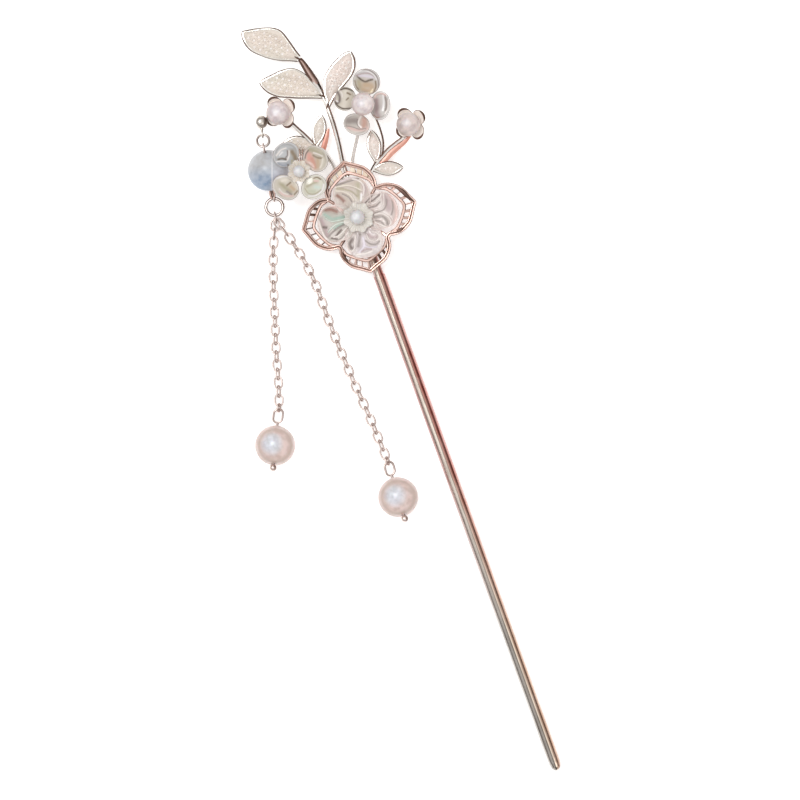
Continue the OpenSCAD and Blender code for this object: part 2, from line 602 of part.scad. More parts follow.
module drilled(d) {
    rotate([0, 90, 0]) difference() {
        sphere(d = d, $fn = 64);
        cylinder(d = pin_d + 2 * gap, h = 2 * d, center = true, $fn = 24);
    }
}
module blue_bead() {
    color(bead_blue) place(bead_c, bead_turn, bead_tilt) drilled(bead_d);
}
module drop_ring() {
    color(rose_gold) place(drop_top, drop_turn, drop_tilt)
        translate([drop_run / 2, 0, 0]) ring(drop_ring_d, drop_ring_d, drop_ring_wire_d);
}
module fork_link() {
    color(rose_gold) place(fork_c, fork_turn, 0, 90) ring(fork_d, fork_d, eye_wire_d);
}

// Chains: points that each one lies on, from the fork link to its last link's end
LEFT_ROUTE = [[-17.7, 1.1], [-20.1, -5.4], [-22.3, -12.4], [-24.5, -19.3], [-26.3, -25.8], [-27.7, -30]];
RIGHT_ROUTE = [[-13.8, -1.2], [-12.6, -8.5], [-12.6, -16.1], [-12.4, -23.4], [-12, -30.9], [-11.4, -38.3],
    [-11, -47.3]];
chain_z = floor_z + link_w / 2 + gap / 4;
chain_roll = 20;
// Each link stands across the one before
across = 90;
link_run = link_l - link_wire_d;
// A chain's first wire sits in the fork link's hole, below or above the middle
function chain_start(side) = fork_c + slack(fork_hole_d, link_wire_d)
    * (dir(fork_turn) * 0.56 + [0, 0, 0.6 * side]);
function chain_route(side, points) = curve(concat([chain_start(side)],
    [for (q = points) flower_c + [q[0], q[1], chain_z]]), 3);
function chain_links(route) =
    1 + 2 * ceil((path_length(route) - link_run) / (link_l - 2 * link_wire_d - gap) / 2);
module chain(route) {
    n = chain_links(route);
    pitch = (path_length(route) - link_run) / (n - 1);
    for (i = [0:n - 1]) {
        a = walk(route, i * pitch);
        b = walk(route, i * pitch + link_run);
        v = unit(b - a);
        place((a + b) / 2, turn_of(v), -asin(v[2]), chain_roll * min(1, i / 4) + across * (i % 2))
            ring(link_l, link_w, link_wire_d);
    }
}
module chain_left() {
    color(rose_gold) chain(chain_route(-1, LEFT_ROUTE));
}
module chain_right() {
    color(rose_gold) chain(chain_route(1, RIGHT_ROUTE));
}

// Drop pearls
left_turn = -115;
right_turn = -93;
loop_neck = 0.6;
end_hole_d = end_ring_d - 2 * eye_wire_d;
loop_run = loop_l - loop_wire_d;
pearl_run = loop_run + loop_wire_d / 2 + loop_neck + gap + drop_pearl_d / 2;
pearl_tilt = -asin((floor_z + drop_pearl_d / 2 - chain_z) / pearl_run);
function end_ring_c(points, turn) = let (q = points[len(points) - 1])
    flower_c + [q[0], q[1], chain_z] + dir(turn) * slack(end_hole_d, link_wire_d);
function loop_start(points, turn) = end_ring_c(points, turn) + dir(turn) * slack(end_hole_d, loop_wire_d);
module end_ring(points, turn) {
    place(end_ring_c(points, turn), turn, 0, chain_roll + across) ring(end_ring_d, end_ring_d, eye_wire_d);
}
module drop_pin(points, turn) {
    place(loop_start(points, turn), turn, pearl_tilt, chain_roll) {
        translate([loop_run / 2, 0, 0]) ring(loop_l, loop_w, loop_wire_d);
        translate([loop_run, 0, 0]) rotate([0, 90, 0])
            cylinder(d = pin_d, h = pearl_run - loop_run + (drop_pearl_d + end_ball_d) / 2 + gap, $fn = 24);
        translate([pearl_run + (drop_pearl_d + end_ball_d) / 2 + gap, 0, 0]) sphere(d = end_ball_d, $fn = 32);
    }
}
module drop_pearl(points, turn) {
    place(loop_start(points, turn), turn, pearl_tilt) translate([pearl_run, 0, 0]) drilled(drop_pearl_d);
}
module left_drop_ring() {
    color(rose_gold) end_ring(LEFT_ROUTE, left_turn);
}
module left_drop_pin() {
    color(rose_gold) drop_pin(LEFT_ROUTE, left_turn);
}
module left_drop_pearl() {
    color(pearl_white) drop_pearl(LEFT_ROUTE, left_turn);
}
module right_drop_ring() {
    color(rose_gold) end_ring(RIGHT_ROUTE, right_turn);
}
module right_drop_pin() {
    color(rose_gold) drop_pin(RIGHT_ROUTE, right_turn);
}
module right_drop_pearl() {
    color(pearl_white) drop_pearl(RIGHT_ROUTE, right_turn);
}

hair_stick();
flower_frame();
shell_flower();
stamen_cup();
centre_pearl();
leaf_sprig();
top_leaf_fill();
left_leaf_fill();
right_leaf_fill();
left_branch();
left_small_fill();
back_leaf_fill();
left_pearl();
right_branch();
right_small_fill_a();
right_small_fill_b();
right_pearl();
upper_flower();
upper_flower_pearl();
upper_flower_wire();
lower_flower();
lower_flower_cup();
lower_flower_pearl();
lower_flower_wire();
hanger_ball();
hanger_ring();
bead_pin();
blue_bead();
drop_ring();
fork_link();
chain_left();
chain_right();
left_drop_ring();
left_drop_pin();
left_drop_pearl();
right_drop_ring();
right_drop_pin();
right_drop_pearl();
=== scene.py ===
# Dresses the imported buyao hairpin. Lengths in this file are millimetres until a piece is finished.
import math
import random
from functools import lru_cache

import bmesh
import bpy
from mathutils import Matrix, Vector, noise


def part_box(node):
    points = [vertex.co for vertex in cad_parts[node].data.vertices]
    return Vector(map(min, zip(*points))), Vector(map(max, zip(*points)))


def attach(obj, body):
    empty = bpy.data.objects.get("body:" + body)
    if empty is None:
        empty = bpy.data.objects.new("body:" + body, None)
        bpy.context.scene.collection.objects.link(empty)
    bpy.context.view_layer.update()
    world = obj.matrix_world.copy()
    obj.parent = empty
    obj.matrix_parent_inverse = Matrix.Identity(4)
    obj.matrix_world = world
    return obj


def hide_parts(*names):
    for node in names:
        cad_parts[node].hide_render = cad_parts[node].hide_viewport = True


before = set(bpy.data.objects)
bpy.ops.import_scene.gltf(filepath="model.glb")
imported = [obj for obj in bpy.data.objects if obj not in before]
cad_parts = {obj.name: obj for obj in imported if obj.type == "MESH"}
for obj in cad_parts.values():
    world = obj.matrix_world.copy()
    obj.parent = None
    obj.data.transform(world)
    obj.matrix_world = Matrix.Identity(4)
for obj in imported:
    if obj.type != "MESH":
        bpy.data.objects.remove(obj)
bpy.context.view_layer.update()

MM = 0.001
UP = Vector((0, 0, 1))
# the big flower's middle, the stick's radius and how far the hairpin is turned in the photo
CENTRE = Vector((0, 12.65, 0))
STICK_R = 1.2
PHOTO_TURN = math.radians(19.8)


# Paths

def polar(reach, turn, z=0.0):
    """A place given by its distance from the middle, its heading in degrees and its height."""
    return Vector((reach * math.cos(math.radians(turn)), reach * math.sin(math.radians(turn)), z))


def lookup(x, table):
    """The table's value at x, straight between its rows."""
    for (x0, y0), (x1, y1) in zip(table, table[1:]):
        if x <= x1:
            return y0 + (y1 - y0) * max(0.0, (x - x0) / (x1 - x0))
    return table[-1][1]


def flow(points, steps):
    """A smooth path through the points, with that many steps from one to the next."""
    path = []
    for i in range(len(points) - 1):
        a, b, c, d = (points[max(i - 1, 0)], points[i], points[i + 1], points[min(i + 2, len(points) - 1)])
        for k in range(steps):
            t = k / steps
            path.append((2 * b + (c - a) * t + (2 * a - 5 * b + 4 * c - d) * t ** 2
                         + (3 * b - a - 3 * c + d) * t ** 3) / 2)
    return path + [points[-1].copy()]


def place(path, base, turn):
    """The path turned and set on its base."""
    return [base + Matrix.Rotation(math.radians(turn), 3, "Z") @ p for p in path]


def seen(tone):
    """A tone as it looks on paper, turned into the light values that Blender mixes."""
    return tuple(c / 12.92 if c <= 0.04045 else ((c + 0.055) / 1.055) ** 2.4 for c in tone)


# Mesh tools

def add_object(name, data):
    ob = bpy.data.objects.new(name, data)
    bpy.context.collection.objects.link(ob)
    return ob


def wires(bm, runs, across, sides=0, closed=False, section=None):
    """Sweeps a round wire along each run: its points, or its points and their shares of the thickness."""
    curve = bpy.data.curves.new("wire", "CURVE")
    curve.dimensions = "3D"
    curve.twist_mode = "Z_UP"
    curve.use_fill_caps = not closed
    for run in runs:
        points, shares = run if isinstance(run, tuple) else (run, [1.0] * len(run))
        spline = curve.splines.new("POLY")
        spline.points.add(len(points) - 1)
        for spot, p, share in zip(spline.points, points, shares):
            spot.co = (*p, 1)
            spot.radius = share
        spline.use_cyclic_u = closed
    holder = None
    if section:
        outline = bpy.data.curves.new("section", "CURVE")
        outline.dimensions = "2D"
        spline = outline.splines.new("POLY")
        spline.points.add(len(section) - 1)
        for spot, (x, y) in zip(spline.points, section):
            spot.co = (x, y, 0, 1)
        spline.use_cyclic_u = True
        holder = add_object("section", outline)
        curve.bevel_mode = "OBJECT"
        curve.bevel_object = holder
    else:
        curve.bevel_depth = across / 2
        curve.bevel_resolution = sides
    ob = add_object("wire", curve)
    mesh = bpy.data.meshes.new_from_object(ob.evaluated_get(bpy.context.evaluated_depsgraph_get()))
    bm.from_mesh(mesh)
    bpy.data.meshes.remove(mesh)
    for thing in (ob, holder):
        if thing:
            bpy.data.objects.remove(thing)


def strips(bm, runs, section, closed=False):
    """Sweeps a section along each run. A run's shares scale the section."""
    wires(bm, runs, 0.0, closed=closed, section=section)


def tone_layer(bm):
    """Where a mesh holds its painted tones."""
    layers = bm.verts.layers.float_color
    return layers.get("tone") or layers.new("tone")


def sheet(bm, columns, rows, spot, tone=None):
    """A grid bent by spot(u, v), u and v from 0 to 1. tone(u, v) paints it."""
    layer = tone_layer(bm)
    made = bmesh.ops.create_grid(bm, x_segments=columns, y_segments=rows, size=0.5)["verts"]
    for vert in made:
        u, v = vert.co.x + 0.5, vert.co.y + 0.5
        if tone:
            vert[layer] = (*seen(tone(u, v)), 1)
        vert.co = spot(u, v)
    return made


def grow(bm, faces, rise):
    """Extrudes faces straight up or down."""
    grown = bmesh.ops.extrude_face_region(bm, geom=faces)["geom"]
    bmesh.ops.translate(bm, vec=(0, 0, rise), verts=[v for v in grown if isinstance(v, bmesh.types.BMVert)])


def thicken(bm, verts, depth):
    """Gives a sheet its wall, downwards."""
    faces = list({f for v in verts for f in v.link_faces})
    bmesh.ops.remove_doubles(bm, verts=verts, dist=1e-4)
    grow(bm, [f for f in faces if f.is_valid], -depth)


def paint(bm, verts, tone):
    """Gives vertices a tone."""
    layer = tone_layer(bm)
    for vert in verts:
        vert[layer] = (*seen(tone), 1)


def granule(bm, spot, size, tone):
    """One round grain."""
    made = bmesh.ops.create_icosphere(bm, subdivisions=2, radius=size / 2, matrix=Matrix.Translation(spot))
    paint(bm, made["verts"], tone)


def piece(name, bm, material, nodes=(), crease=42):
    """Finishes a mesh: doubles merged, faces out, hard edges kept, in metres, riding on the hairpin."""
    bmesh.ops.remove_doubles(bm, verts=bm.verts, dist=1e-4)
    bmesh.ops.dissolve_degenerate(bm, edges=bm.edges, dist=1e-5)
    bmesh.ops.recalc_face_normals(bm, faces=bm.faces)
    for face in bm.faces:
        face.smooth = True
    for edge in bm.edges:
        edge.smooth = len(edge.link_faces) == 2 and edge.calc_face_angle(0) < math.radians(crease)
    bmesh.ops.scale(bm, vec=(MM, MM, MM), verts=bm.verts)
    mesh = bpy.data.meshes.new(name)
    bm.to_mesh(mesh)
    bm.free()
    mesh.materials.append(material)
    ob = add_object(name, mesh)
    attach(ob, "root")
    if nodes:
        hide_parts(*nodes)


# Finishes

# the picture's right, towards which slopes get painted shade, and the way to the window, whose reflection is
# painted on the pearls as a highlight
PHOTO_RIGHT = (0.94, -0.34, 0)
HIGHLIGHT_WAY = (-0.14, 0.16, 0.977)


def group(name, inputs, outputs):
    """An empty node group. Returns its tree and its two ends."""
    tree = bpy.data.node_groups.new(name, "ShaderNodeTree")
    for label, kind, value in inputs:
        tree.interface.new_socket(label, in_out="INPUT", socket_type=kind).default_value = value
    for label, kind in outputs:
        tree.interface.new_socket(label, in_out="OUTPUT", socket_type=kind)
    return tree, tree.nodes.new("NodeGroupInput"), tree.nodes.new("NodeGroupOutput")


def node(tree, kind, values=None, links=None, **settings):
    """A node with its settings, the values of its sockets and the links into them."""
    made = tree.nodes.new(kind)
    for name, value in settings.items():
        setattr(made, name, value)
    for socket, value in (values or {}).items():
        made.inputs[socket].default_value = value
    for socket, source in (links or {}).items():
        tree.links.new(source, made.inputs[socket])
    return made


def feed(tree, socket, colour):
    """Gives a colour socket a tone, or another node's colour."""
    if isinstance(colour, tuple):
        socket.default_value = (*colour, 1)
    else:
        tree.links.new(colour, socket)


def mixed(tree, share, first, second):
    """The first colour where share is 0, the second where it is 1."""
    made = node(tree, "ShaderNodeMix", data_type="RGBA", links={0: share})
    feed(tree, made.inputs[6], first)
    feed(tree, made.inputs[7], second)
    return made.outputs[2]


def ranged(tree, value, start, end, top=1.0, **settings):
    """0 where the value is at start, top where it is at end."""
    made = node(tree, "ShaderNodeMapRange", {"From Min": start, "From Max": end, "To Max": top},
                {"Value": value}, **settings)
    return made.outputs["Result"]


def facing(tree, vector, way):
    """How far a vector points a way."""
    made = node(tree, "ShaderNodeVectorMath", {1: way}, {0: vector}, operation="DOT_PRODUCT")
    return made.outputs["Value"]


def on_piece(tree):
    """The place on the piece, in metres."""
    return node(tree, "ShaderNodeTexCoord").outputs["Object"]


def mottle_group():
    """Two tones in soft clouds over a surface."""
    tree, put, get = group("mottle", [
        ("Light", "NodeSocketColor", (1, 1, 1, 1)), ("Dark", "NodeSocketColor", (0, 0, 0, 1)),
        ("Scale", "NodeSocketFloat", 400.0), ("Amount", "NodeSocketFloat", 0.5)],
        [("Color", "NodeSocketColor")])
    cloud = node(tree, "ShaderNodeTexNoise", {"Detail": 3.0},
                 {"Vector": on_piece(tree), "Scale": put.outputs["Scale"]})
    spread = node(tree, "ShaderNodeMapRange", {"From Min": 0.38, "From Max": 0.62},
                  {"Value": cloud.outputs["Fac"], "To Max": put.outputs["Amount"]})
    cloudy = mixed(tree, spread.outputs["Result"], put.outputs["Light"], put.outputs["Dark"])
    tree.links.new(cloudy, get.inputs["Color"])
    return tree


def polish_group():
    """Roughness that varies and a fine waviness, as on polished metal or pearl."""
    tree, put, get = group("polish", [
        ("Scale", "NodeSocketFloat", 900.0), ("Smooth", "NodeSocketFloat", 0.1),
        ("Rough", "NodeSocketFloat", 0.25), ("Waves", "NodeSocketFloat", 0.05)],
        [("Roughness", "NodeSocketFloat"), ("Normal", "NodeSocketVector")])
    grain = node(tree, "ShaderNodeTexNoise", {"Detail": 4.0},
                 {"Vector": on_piece(tree), "Scale": put.outputs["Scale"]})
    rough = node(tree, "ShaderNodeMapRange", links={
        "Value": grain.outputs["Fac"], "To Min": put.outputs["Smooth"], "To Max": put.outputs["Rough"]})
    bump = node(tree, "ShaderNodeBump", {"Distance": 0.00005},
                {"Strength": put.outputs["Waves"], "Height": grain.outputs["Fac"]})
    tree.links.new(rough.outputs["Result"], get.inputs["Roughness"])
    tree.links.new(bump.outputs["Normal"], get.inputs["Normal"])
    return tree


def slope_light_group():
    """Painted light and shade by the way a surface leans: flats keep their tone, slopes to the picture's
    right get painted shade and slopes to its left painted light.
    """
    tree, put, get = group("slope_light", [
        ("Flat", "NodeSocketColor", (1, 1, 1, 1)), ("Left", "NodeSocketColor", (0.5, 0.5, 0.5, 1)),
        ("Right", "NodeSocketColor", (0.2, 0.2, 0.2, 1))], [("Color", "NodeSocketColor")])
    lean = facing(tree, node(tree, "ShaderNodeNewGeometry").outputs["Normal"], PHOTO_RIGHT)
    to_right = mixed(tree, ranged(tree, lean, 0.2, 0.62), put.outputs["Flat"], put.outputs["Right"])
    to_left = mixed(tree, ranged(tree, lean, -0.25, -0.75), to_right, put.outputs["Left"])
    tree.links.new(to_left, get.inputs["Color"])
    return tree


MOTTLE, POLISH, SLOPE_LIGHT = mottle_group(), polish_group(), slope_light_group()


def finish(name, **sockets):
    """A material with its shader's own values. Returns the material, its tree and its shader."""
    material = bpy.data.materials.new(name)
    material.use_nodes = True
    shader = material.node_tree.nodes["Principled BSDF"]
    for socket, value in sockets.items():
        shader.inputs[socket.replace("_", " ")].default_value = value
    return material, material.node_tree, shader


def tones(tree, factor, stops):
    """A run of tones over a factor."""
    ramp = node(tree, "ShaderNodeValToRGB", links={0: factor})
    while len(ramp.color_ramp.elements) < len(stops):
        ramp.color_ramp.elements.new(1.0)
    for element, (at, tone) in zip(ramp.color_ramp.elements, stops):
        element.position = at
        element.color = (*tone, 1)
    return ramp.outputs["Color"]


def mottled(tree, light, dark, scale, amount):
    """Clouds of the dark tone over the light one."""
    made = node(tree, "ShaderNodeGroup", {"Scale": scale, "Amount": amount}, node_tree=MOTTLE)
    feed(tree, made.inputs["Light"], light)
    feed(tree, made.inputs["Dark"], dark)
    return made.outputs["Color"]


def polish(tree, shader, colour, scale, smooth, rough, waves):
    """Lays a colour on a shader and polishes it."""
    made = node(tree, "ShaderNodeGroup", {"Scale": scale, "Smooth": smooth, "Rough": rough, "Waves": waves},
                node_tree=POLISH)
    tree.links.new(colour, shader.inputs["Base Color"])
    tree.links.new(made.outputs["Roughness"], shader.inputs["Roughness"])
    tree.links.new(made.outputs["Normal"], shader.inputs["Normal"])


def metal(name, light, dark, left, right, smooth=0.1, rough=0.24, shine=1.0, glow=0.0):
    """Metal or enamel: clouds of two tones on its flats, painted light on its slopes to the left and painted
    shade on those to the right, and glow, an even emission that paints light into it.
    """
    material, tree, shader = finish(name, Metallic=shine, Emission_Color=(*light, 1), Emission_Strength=glow)
    lit = node(tree, "ShaderNodeGroup", node_tree=SLOPE_LIGHT)
    feed(tree, lit.inputs["Flat"], mottled(tree, seen(light), seen(dark), 260.0, 0.6))
    feed(tree, lit.inputs["Left"], seen(left))
    feed(tree, lit.inputs["Right"], seen(right))
    polish(tree, shader, lit.outputs["Color"], 700.0, smooth, rough, 0.05)
    return material


def pearl(name, light, dark, ring, highlight_tone, reach, glow=0.62, rim=0.62):
    """Two close tones in soft clouds, a painted dark ring inside the edge and a painted highlight where the
    pearl faces the window.
    """
    material, tree, shader = finish(name, Coat_Weight=0.18, Coat_Roughness=0.25, Subsurface_Weight=0.1,
                                    Subsurface_Scale=0.002, Specular_IOR_Level=0.5)
    body = mottled(tree, seen(light), seen(dark), 700.0, 1.0)
    # painted shade: a darker ring by how squarely the surface faces the view
    edge = node(tree, "ShaderNodeLayerWeight", {"Blend": 0.5})
    shade_ring_share = tones(tree, edge.outputs["Facing"], [(at, (share,) * 3) for at, share in (
        (0, 0), (0.48 * rim, 0.1), (rim, 1), (1.37 * rim, 0.3), (1, 0.1))])
    shade_ringed = mixed(tree, shade_ring_share, body, seen(ring))
    # painted highlight: a paler tone where the surface faces the window
    lean = facing(tree, node(tree, "ShaderNodeNewGeometry").outputs["Normal"], HIGHLIGHT_WAY)
    highlight_share = ranged(tree, lean, reach, 1.0, glow, interpolation_type="SMOOTHSTEP")
    heart = mottled(tree, seen(highlight_tone), seen([0.86 * part for part in highlight_tone]), 900.0, 0.8)
    polish(tree, shader, mixed(tree, highlight_share, shade_ringed, heart), 500.0, 0.22, 0.4, 0.03)
    return material


def painted(name, dark, amount, smooth, rough, **sockets):
    """A finish whose tones are painted on the mesh, with clouds of a darker tone over them."""
    material, tree, shader = finish(name, **sockets)
    base = node(tree, "ShaderNodeVertexColor", layer_name="tone")
    body = mottled(tree, base.outputs["Color"], dark, 520.0, amount)
    polish(tree, shader, body, 900.0, smooth, rough, 0.06)
    return material


def granule_finish():
    """Glossy granules, each a little off its painted tone, with a warm blush in soft clouds."""
    material, tree, shader = finish("leaf_granules", Coat_Weight=0.35, Coat_Roughness=0.3,
                                    Specular_IOR_Level=0.4)
    base = node(tree, "ShaderNodeVertexColor", layer_name="tone")
    cells = node(tree, "ShaderNodeTexVoronoi", {"Scale": 1500.0}, {"Vector": on_piece(tree)})
    hue = node(tree, "ShaderNodeSeparateColor", links={0: cells.outputs["Color"]})
    share = ranged(tree, hue.outputs[0], 0.0, 1.0, 0.3)
    varied = mixed(tree, share, base.outputs["Color"], (0.66, 0.61, 0.55))
    polish(tree, shader, mottled(tree, varied, (0.86, 0.72, 0.66), 240.0, 0.3), 2500.0, 0.3, 0.5, 0.05)
    return material


# how far down the stick the warm stripes begin to fade, and from where only the cool ones show
FADE_START, FADE_END = 35, 75
# stripes across the stick, from its left edge to its right: its own warm and cool tones, with painted
# reflections in them, pale highlight lines and dark lines
WARM_TONES_AND_REFLECTIONS = [
    (0, (0.80, 0.66, 0.65)), (0.12, (0.70, 0.54, 0.53)), (0.2, (0.84, 0.76, 0.73)),
    (0.36, (0.93, 0.89, 0.84)), (0.46, (0.78, 0.73, 0.68)), (0.52, (0.42, 0.36, 0.32)),
    (0.58, (0.78, 0.55, 0.50)), (0.72, (0.46, 0.18, 0.15)), (0.82, (0.56, 0.27, 0.24)),
    (0.9, (0.80, 0.59, 0.56)), (1, (0.80, 0.58, 0.56))]
COOL_TONES_AND_REFLECTIONS = [
    (0, (0.88, 0.87, 0.86)), (0.16, (0.70, 0.69, 0.67)), (0.38, (0.64, 0.62, 0.59)),
    (0.49, (0.26, 0.22, 0.19)), (0.56, (0.96, 0.90, 0.82)), (0.66, (0.72, 0.60, 0.52)),
    (0.8, (0.54, 0.40, 0.33)), (0.92, (0.84, 0.71, 0.62)), (1, (0.86, 0.80, 0.76))]


def stick_finish():
    """Champagne metal with long stripes, its own tones with painted reflections in them: warm red near the
    flower, grey and tan towards the tip.
    """
    material, tree, shader = finish("stick_gold", Metallic=0.9)
    parts = node(tree, "ShaderNodeSeparateXYZ", links={0: on_piece(tree)})
    across = ranged(tree, parts.outputs["X"], -STICK_R * MM, STICK_R * MM)
    towards_tip = ranged(tree, parts.outputs["Y"], -FADE_START * MM, -FADE_END * MM)
    warm, cool = (tones(tree, across, [(at, seen(tone)) for at, tone in stripes])
                  for stripes in (WARM_TONES_AND_REFLECTIONS, COOL_TONES_AND_REFLECTIONS))
    body = mottled(tree, mixed(tree, towards_tip, warm, cool), (0.80, 0.70, 0.64), 300.0, 0.15)
    drawn_out = node(tree, "ShaderNodeMapping", {"Scale": (5200, 160, 5200)}, {"Vector": on_piece(tree)})
    grain = node(tree, "ShaderNodeTexNoise", {"Scale": 1.0, "Detail": 2.0},
                 {"Vector": drawn_out.outputs["Vector"]})
    streaked = mixed(tree, ranged(tree, grain.outputs["Fac"], 0.5, 0.68, 0.42), body, (0.22, 0.16, 0.13))
    polish(tree, shader, streaked, 700.0, 0.2, 0.34, 0.04)
    return material


def coral_finish():
    """The warm side of the flat stems."""
    material, tree, shader = finish("coral_side", Metallic=0.15)
    body = mottled(tree, seen((0.77, 0.50, 0.43)), seen((0.84, 0.64, 0.57)), 300.0, 0.9)
    polish(tree, shader, body, 800.0, 0.22, 0.36, 0.05)
    return material


def bead_finish():
    """Chalcedony: grey above, blue and lilac below, with pale flecks and a pale line a little right of its
    middle.
    """
    material, tree, shader = finish("blue_chalcedony", Coat_Weight=0.12, Coat_Roughness=0.35,
                                    Transmission_Weight=0.15, IOR=1.53)
    low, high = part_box("blue_bead")
    middle, width = (low + high) / 2, high.x - low.x
    local = node(tree, "ShaderNodeMapping", {"Location": -middle / width, "Scale": (1 / width,) * 3},
                 {"Vector": on_piece(tree)})
    down = facing(tree, local.outputs["Vector"], (-0.25, -0.95, 0))
    across = facing(tree, local.outputs["Vector"], PHOTO_RIGHT)
    blue_share = ranged(tree, down, -0.2, 0.32, interpolation_type="SMOOTHSTEP")
    lilac_share = ranged(tree, across, 0.02, 0.2, interpolation_type="SMOOTHSTEP")
    low_tone = mixed(tree, lilac_share, (0.23, 0.34, 0.50), (0.48, 0.46, 0.56))
    tone = mixed(tree, blue_share, (0.52, 0.52, 0.52), low_tone)
    cloudy = mottled(tree, tone, (0.64, 0.69, 0.76), 420.0, 0.4)
    flecked = mottled(tree, cloudy, (0.74, 0.78, 0.84), 1100.0, 0.3)
    pale_line = node(tree, "ShaderNodeMath", {1: 0.1, 2: 0.012}, {0: across}, operation="COMPARE")
    body = mixed(tree, pale_line.outputs["Value"], flecked, (0.85, 0.85, 0.88))
    polish(tree, shader, body, 600.0, 0.26, 0.42, 0.04)
    return material


# tones of the light and dark clouds, of the painted light on slopes to the left and of the painted shade on
# slopes to the right
ROSE = metal("rose_gold", (0.90, 0.78, 0.74), (0.78, 0.66, 0.61), (0.93, 0.85, 0.81), (0.46, 0.34, 0.30),
             smooth=0.15, rough=0.3)
SILVER = metal("rose_silver", (0.92, 0.90, 0.88), (0.76, 0.72, 0.69), (0.97, 0.95, 0.93), (0.46, 0.39, 0.35))
TRAY = metal("bright_silver", (0.89, 0.87, 0.84), (0.78, 0.75, 0.71), (0.91, 0.89, 0.86), (0.60, 0.54, 0.50))
CHAIN = metal("chain_gold", (0.91, 0.85, 0.83), (0.77, 0.70, 0.67), (0.90, 0.85, 0.82), (0.58, 0.50, 0.47),
              smooth=0.28, rough=0.46)
RING = metal("ring_silver", (0.91, 0.87, 0.85), (0.78, 0.73, 0.70), (0.91, 0.87, 0.85), (0.56, 0.49, 0.45),
             smooth=0.24, rough=0.42)
SAND = metal("pale_gold", (0.92, 0.87, 0.80), (0.80, 0.70, 0.60), (0.93, 0.88, 0.82), (0.62, 0.50, 0.41),
             smooth=0.4, rough=0.6, shine=0.15)
# dark lines laid where the metal shows shade and dark reflections: painted shade
PAINTED_SHADE = metal("painted_shade", (0.47, 0.37, 0.33), (0.36, 0.27, 0.23), (0.60, 0.48, 0.43), (0.26, 0.19, 0.16),
               smooth=0.3, rough=0.5)
# the calyx's glow is a painted glow that lifts its shade
CALYX = metal("pale_calyx", (0.97, 0.93, 0.89), (0.90, 0.84, 0.80), (0.98, 0.95, 0.92), (0.86, 0.79, 0.74),
              smooth=0.3, rough=0.45, shine=0.0, glow=0.16)
BALL = metal("ball_silver", (0.92, 0.90, 0.87), (0.76, 0.73, 0.69), (0.96, 0.95, 0.93), (0.50, 0.45, 0.41),
             smooth=0.2, rough=0.38)
# tones of the light and dark clouds, of the painted dark ring and of the painted highlight; the shaded pearl
# is a darker copy, painted shade
SMALL_PEARL = pearl("small_pearl", (0.93, 0.90, 0.89), (0.80, 0.75, 0.76), (0.82, 0.76, 0.75),
                    (0.97, 0.96, 0.98), reach=0.86)
SHADED_PEARL = pearl("shaded_pearl", (0.87, 0.82, 0.80), (0.76, 0.71, 0.70), (0.77, 0.71, 0.69),
                     (0.95, 0.94, 0.95), reach=0.86)
SEED_PEARL = pearl("grey_pearl", (0.87, 0.88, 0.88), (0.80, 0.81, 0.82), (0.82, 0.80, 0.80),
                   (0.99, 0.99, 1.0), reach=0.8)
DROP_PEARL = pearl("drop_pearl", (0.90, 0.82, 0.80), (0.81, 0.73, 0.70), (0.76, 0.68, 0.64),
                   (0.87, 0.90, 0.94), reach=0.74, glow=0.85, rim=0.42)
SHELL = painted("carved_shell", (0.55, 0.48, 0.47), 0.14, 0.18, 0.34, Coat_Weight=0.35, Coat_Roughness=0.16)
CLEAR = painted("clear_petal", (0.56, 0.54, 0.51), 0.1, 0.16, 0.3, Transmission_Weight=0.15, IOR=1.46,
                Coat_Weight=0.35, Coat_Roughness=0.16)
CUP = painted("clear_cup", (0.88, 0.80, 0.74), 0.25, 0.12, 0.26, Transmission_Weight=0.2, IOR=1.46,
              Coat_Weight=0.4, Coat_Roughness=0.12)
GRANULES, STICK, CORAL, BEAD = granule_finish(), stick_finish(), coral_finish(), bead_finish()


def dress(names, material):
    """Gives CAD nodes that keep their shape a finish."""
    for name in names:
        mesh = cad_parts[name].data
        mesh.materials.clear()
        mesh.materials.append(material)


dress(["hair_stick"], STICK)
dress(["left_pearl", "upper_flower_pearl"], SMALL_PEARL)
dress(["right_pearl"], SHADED_PEARL)
dress(["centre_pearl", "lower_flower_pearl"], SEED_PEARL)
dress(["left_drop_pearl", "right_drop_pearl"], DROP_PEARL)
dress(["blue_bead"], BEAD)
dress(["hanger_ball"], BALL)
dress(["hanger_ring", "drop_ring"], RING)
dress(["bead_pin", "fork_link", "chain_left", "chain_right", "left_drop_ring", "right_drop_ring",
       "left_drop_pin", "right_drop_pin"], CHAIN)


# Main frame

# heading of a petal's tip, share of the full reach
FRAME_PETALS = [(-4, 1.0), (85, 0.975), (172.5, 0.965), (263, 0.935)]
# the frame's reach, the widest gap between its two rims, its height, and the hub under the shell flower
FRAME_REACH, RIM_GAP, RIM_Z = 11.6, 2.1, 2.45
HUB_R, HUB_Z = 3.7, 1.3
# degrees from the petal's heading, then the rim's reach and the gap to the inner rim, as shares
RIM_REACH = [(0, 1), (8, 0.935), (15, 0.9), (22, 0.862), (31, 0.776), (37, 0.7), (42, 0.62), (45, 0.6)]
RIM_APART = [(0, 1), (8, 0.86), (22, 0.78), (31, 0.5), (42, 0.12)]
# soft bevels outside and a shallow channel along the top
RIM_SECTION = [(-0.45, -0.6), (-0.45, 0.43), (-0.34, 0.54), (-0.2, 0.55), (0.0, 0.4), (0.14, 0.51),
               (0.33, 0.52), (0.45, 0.42), (0.45, -0.6)]
INNER_SECTION = [(-0.32, -0.3), (-0.32, 0.18), (-0.17, 0.3), (0.17, 0.3), (0.32, 0.18), (0.32, -0.3)]


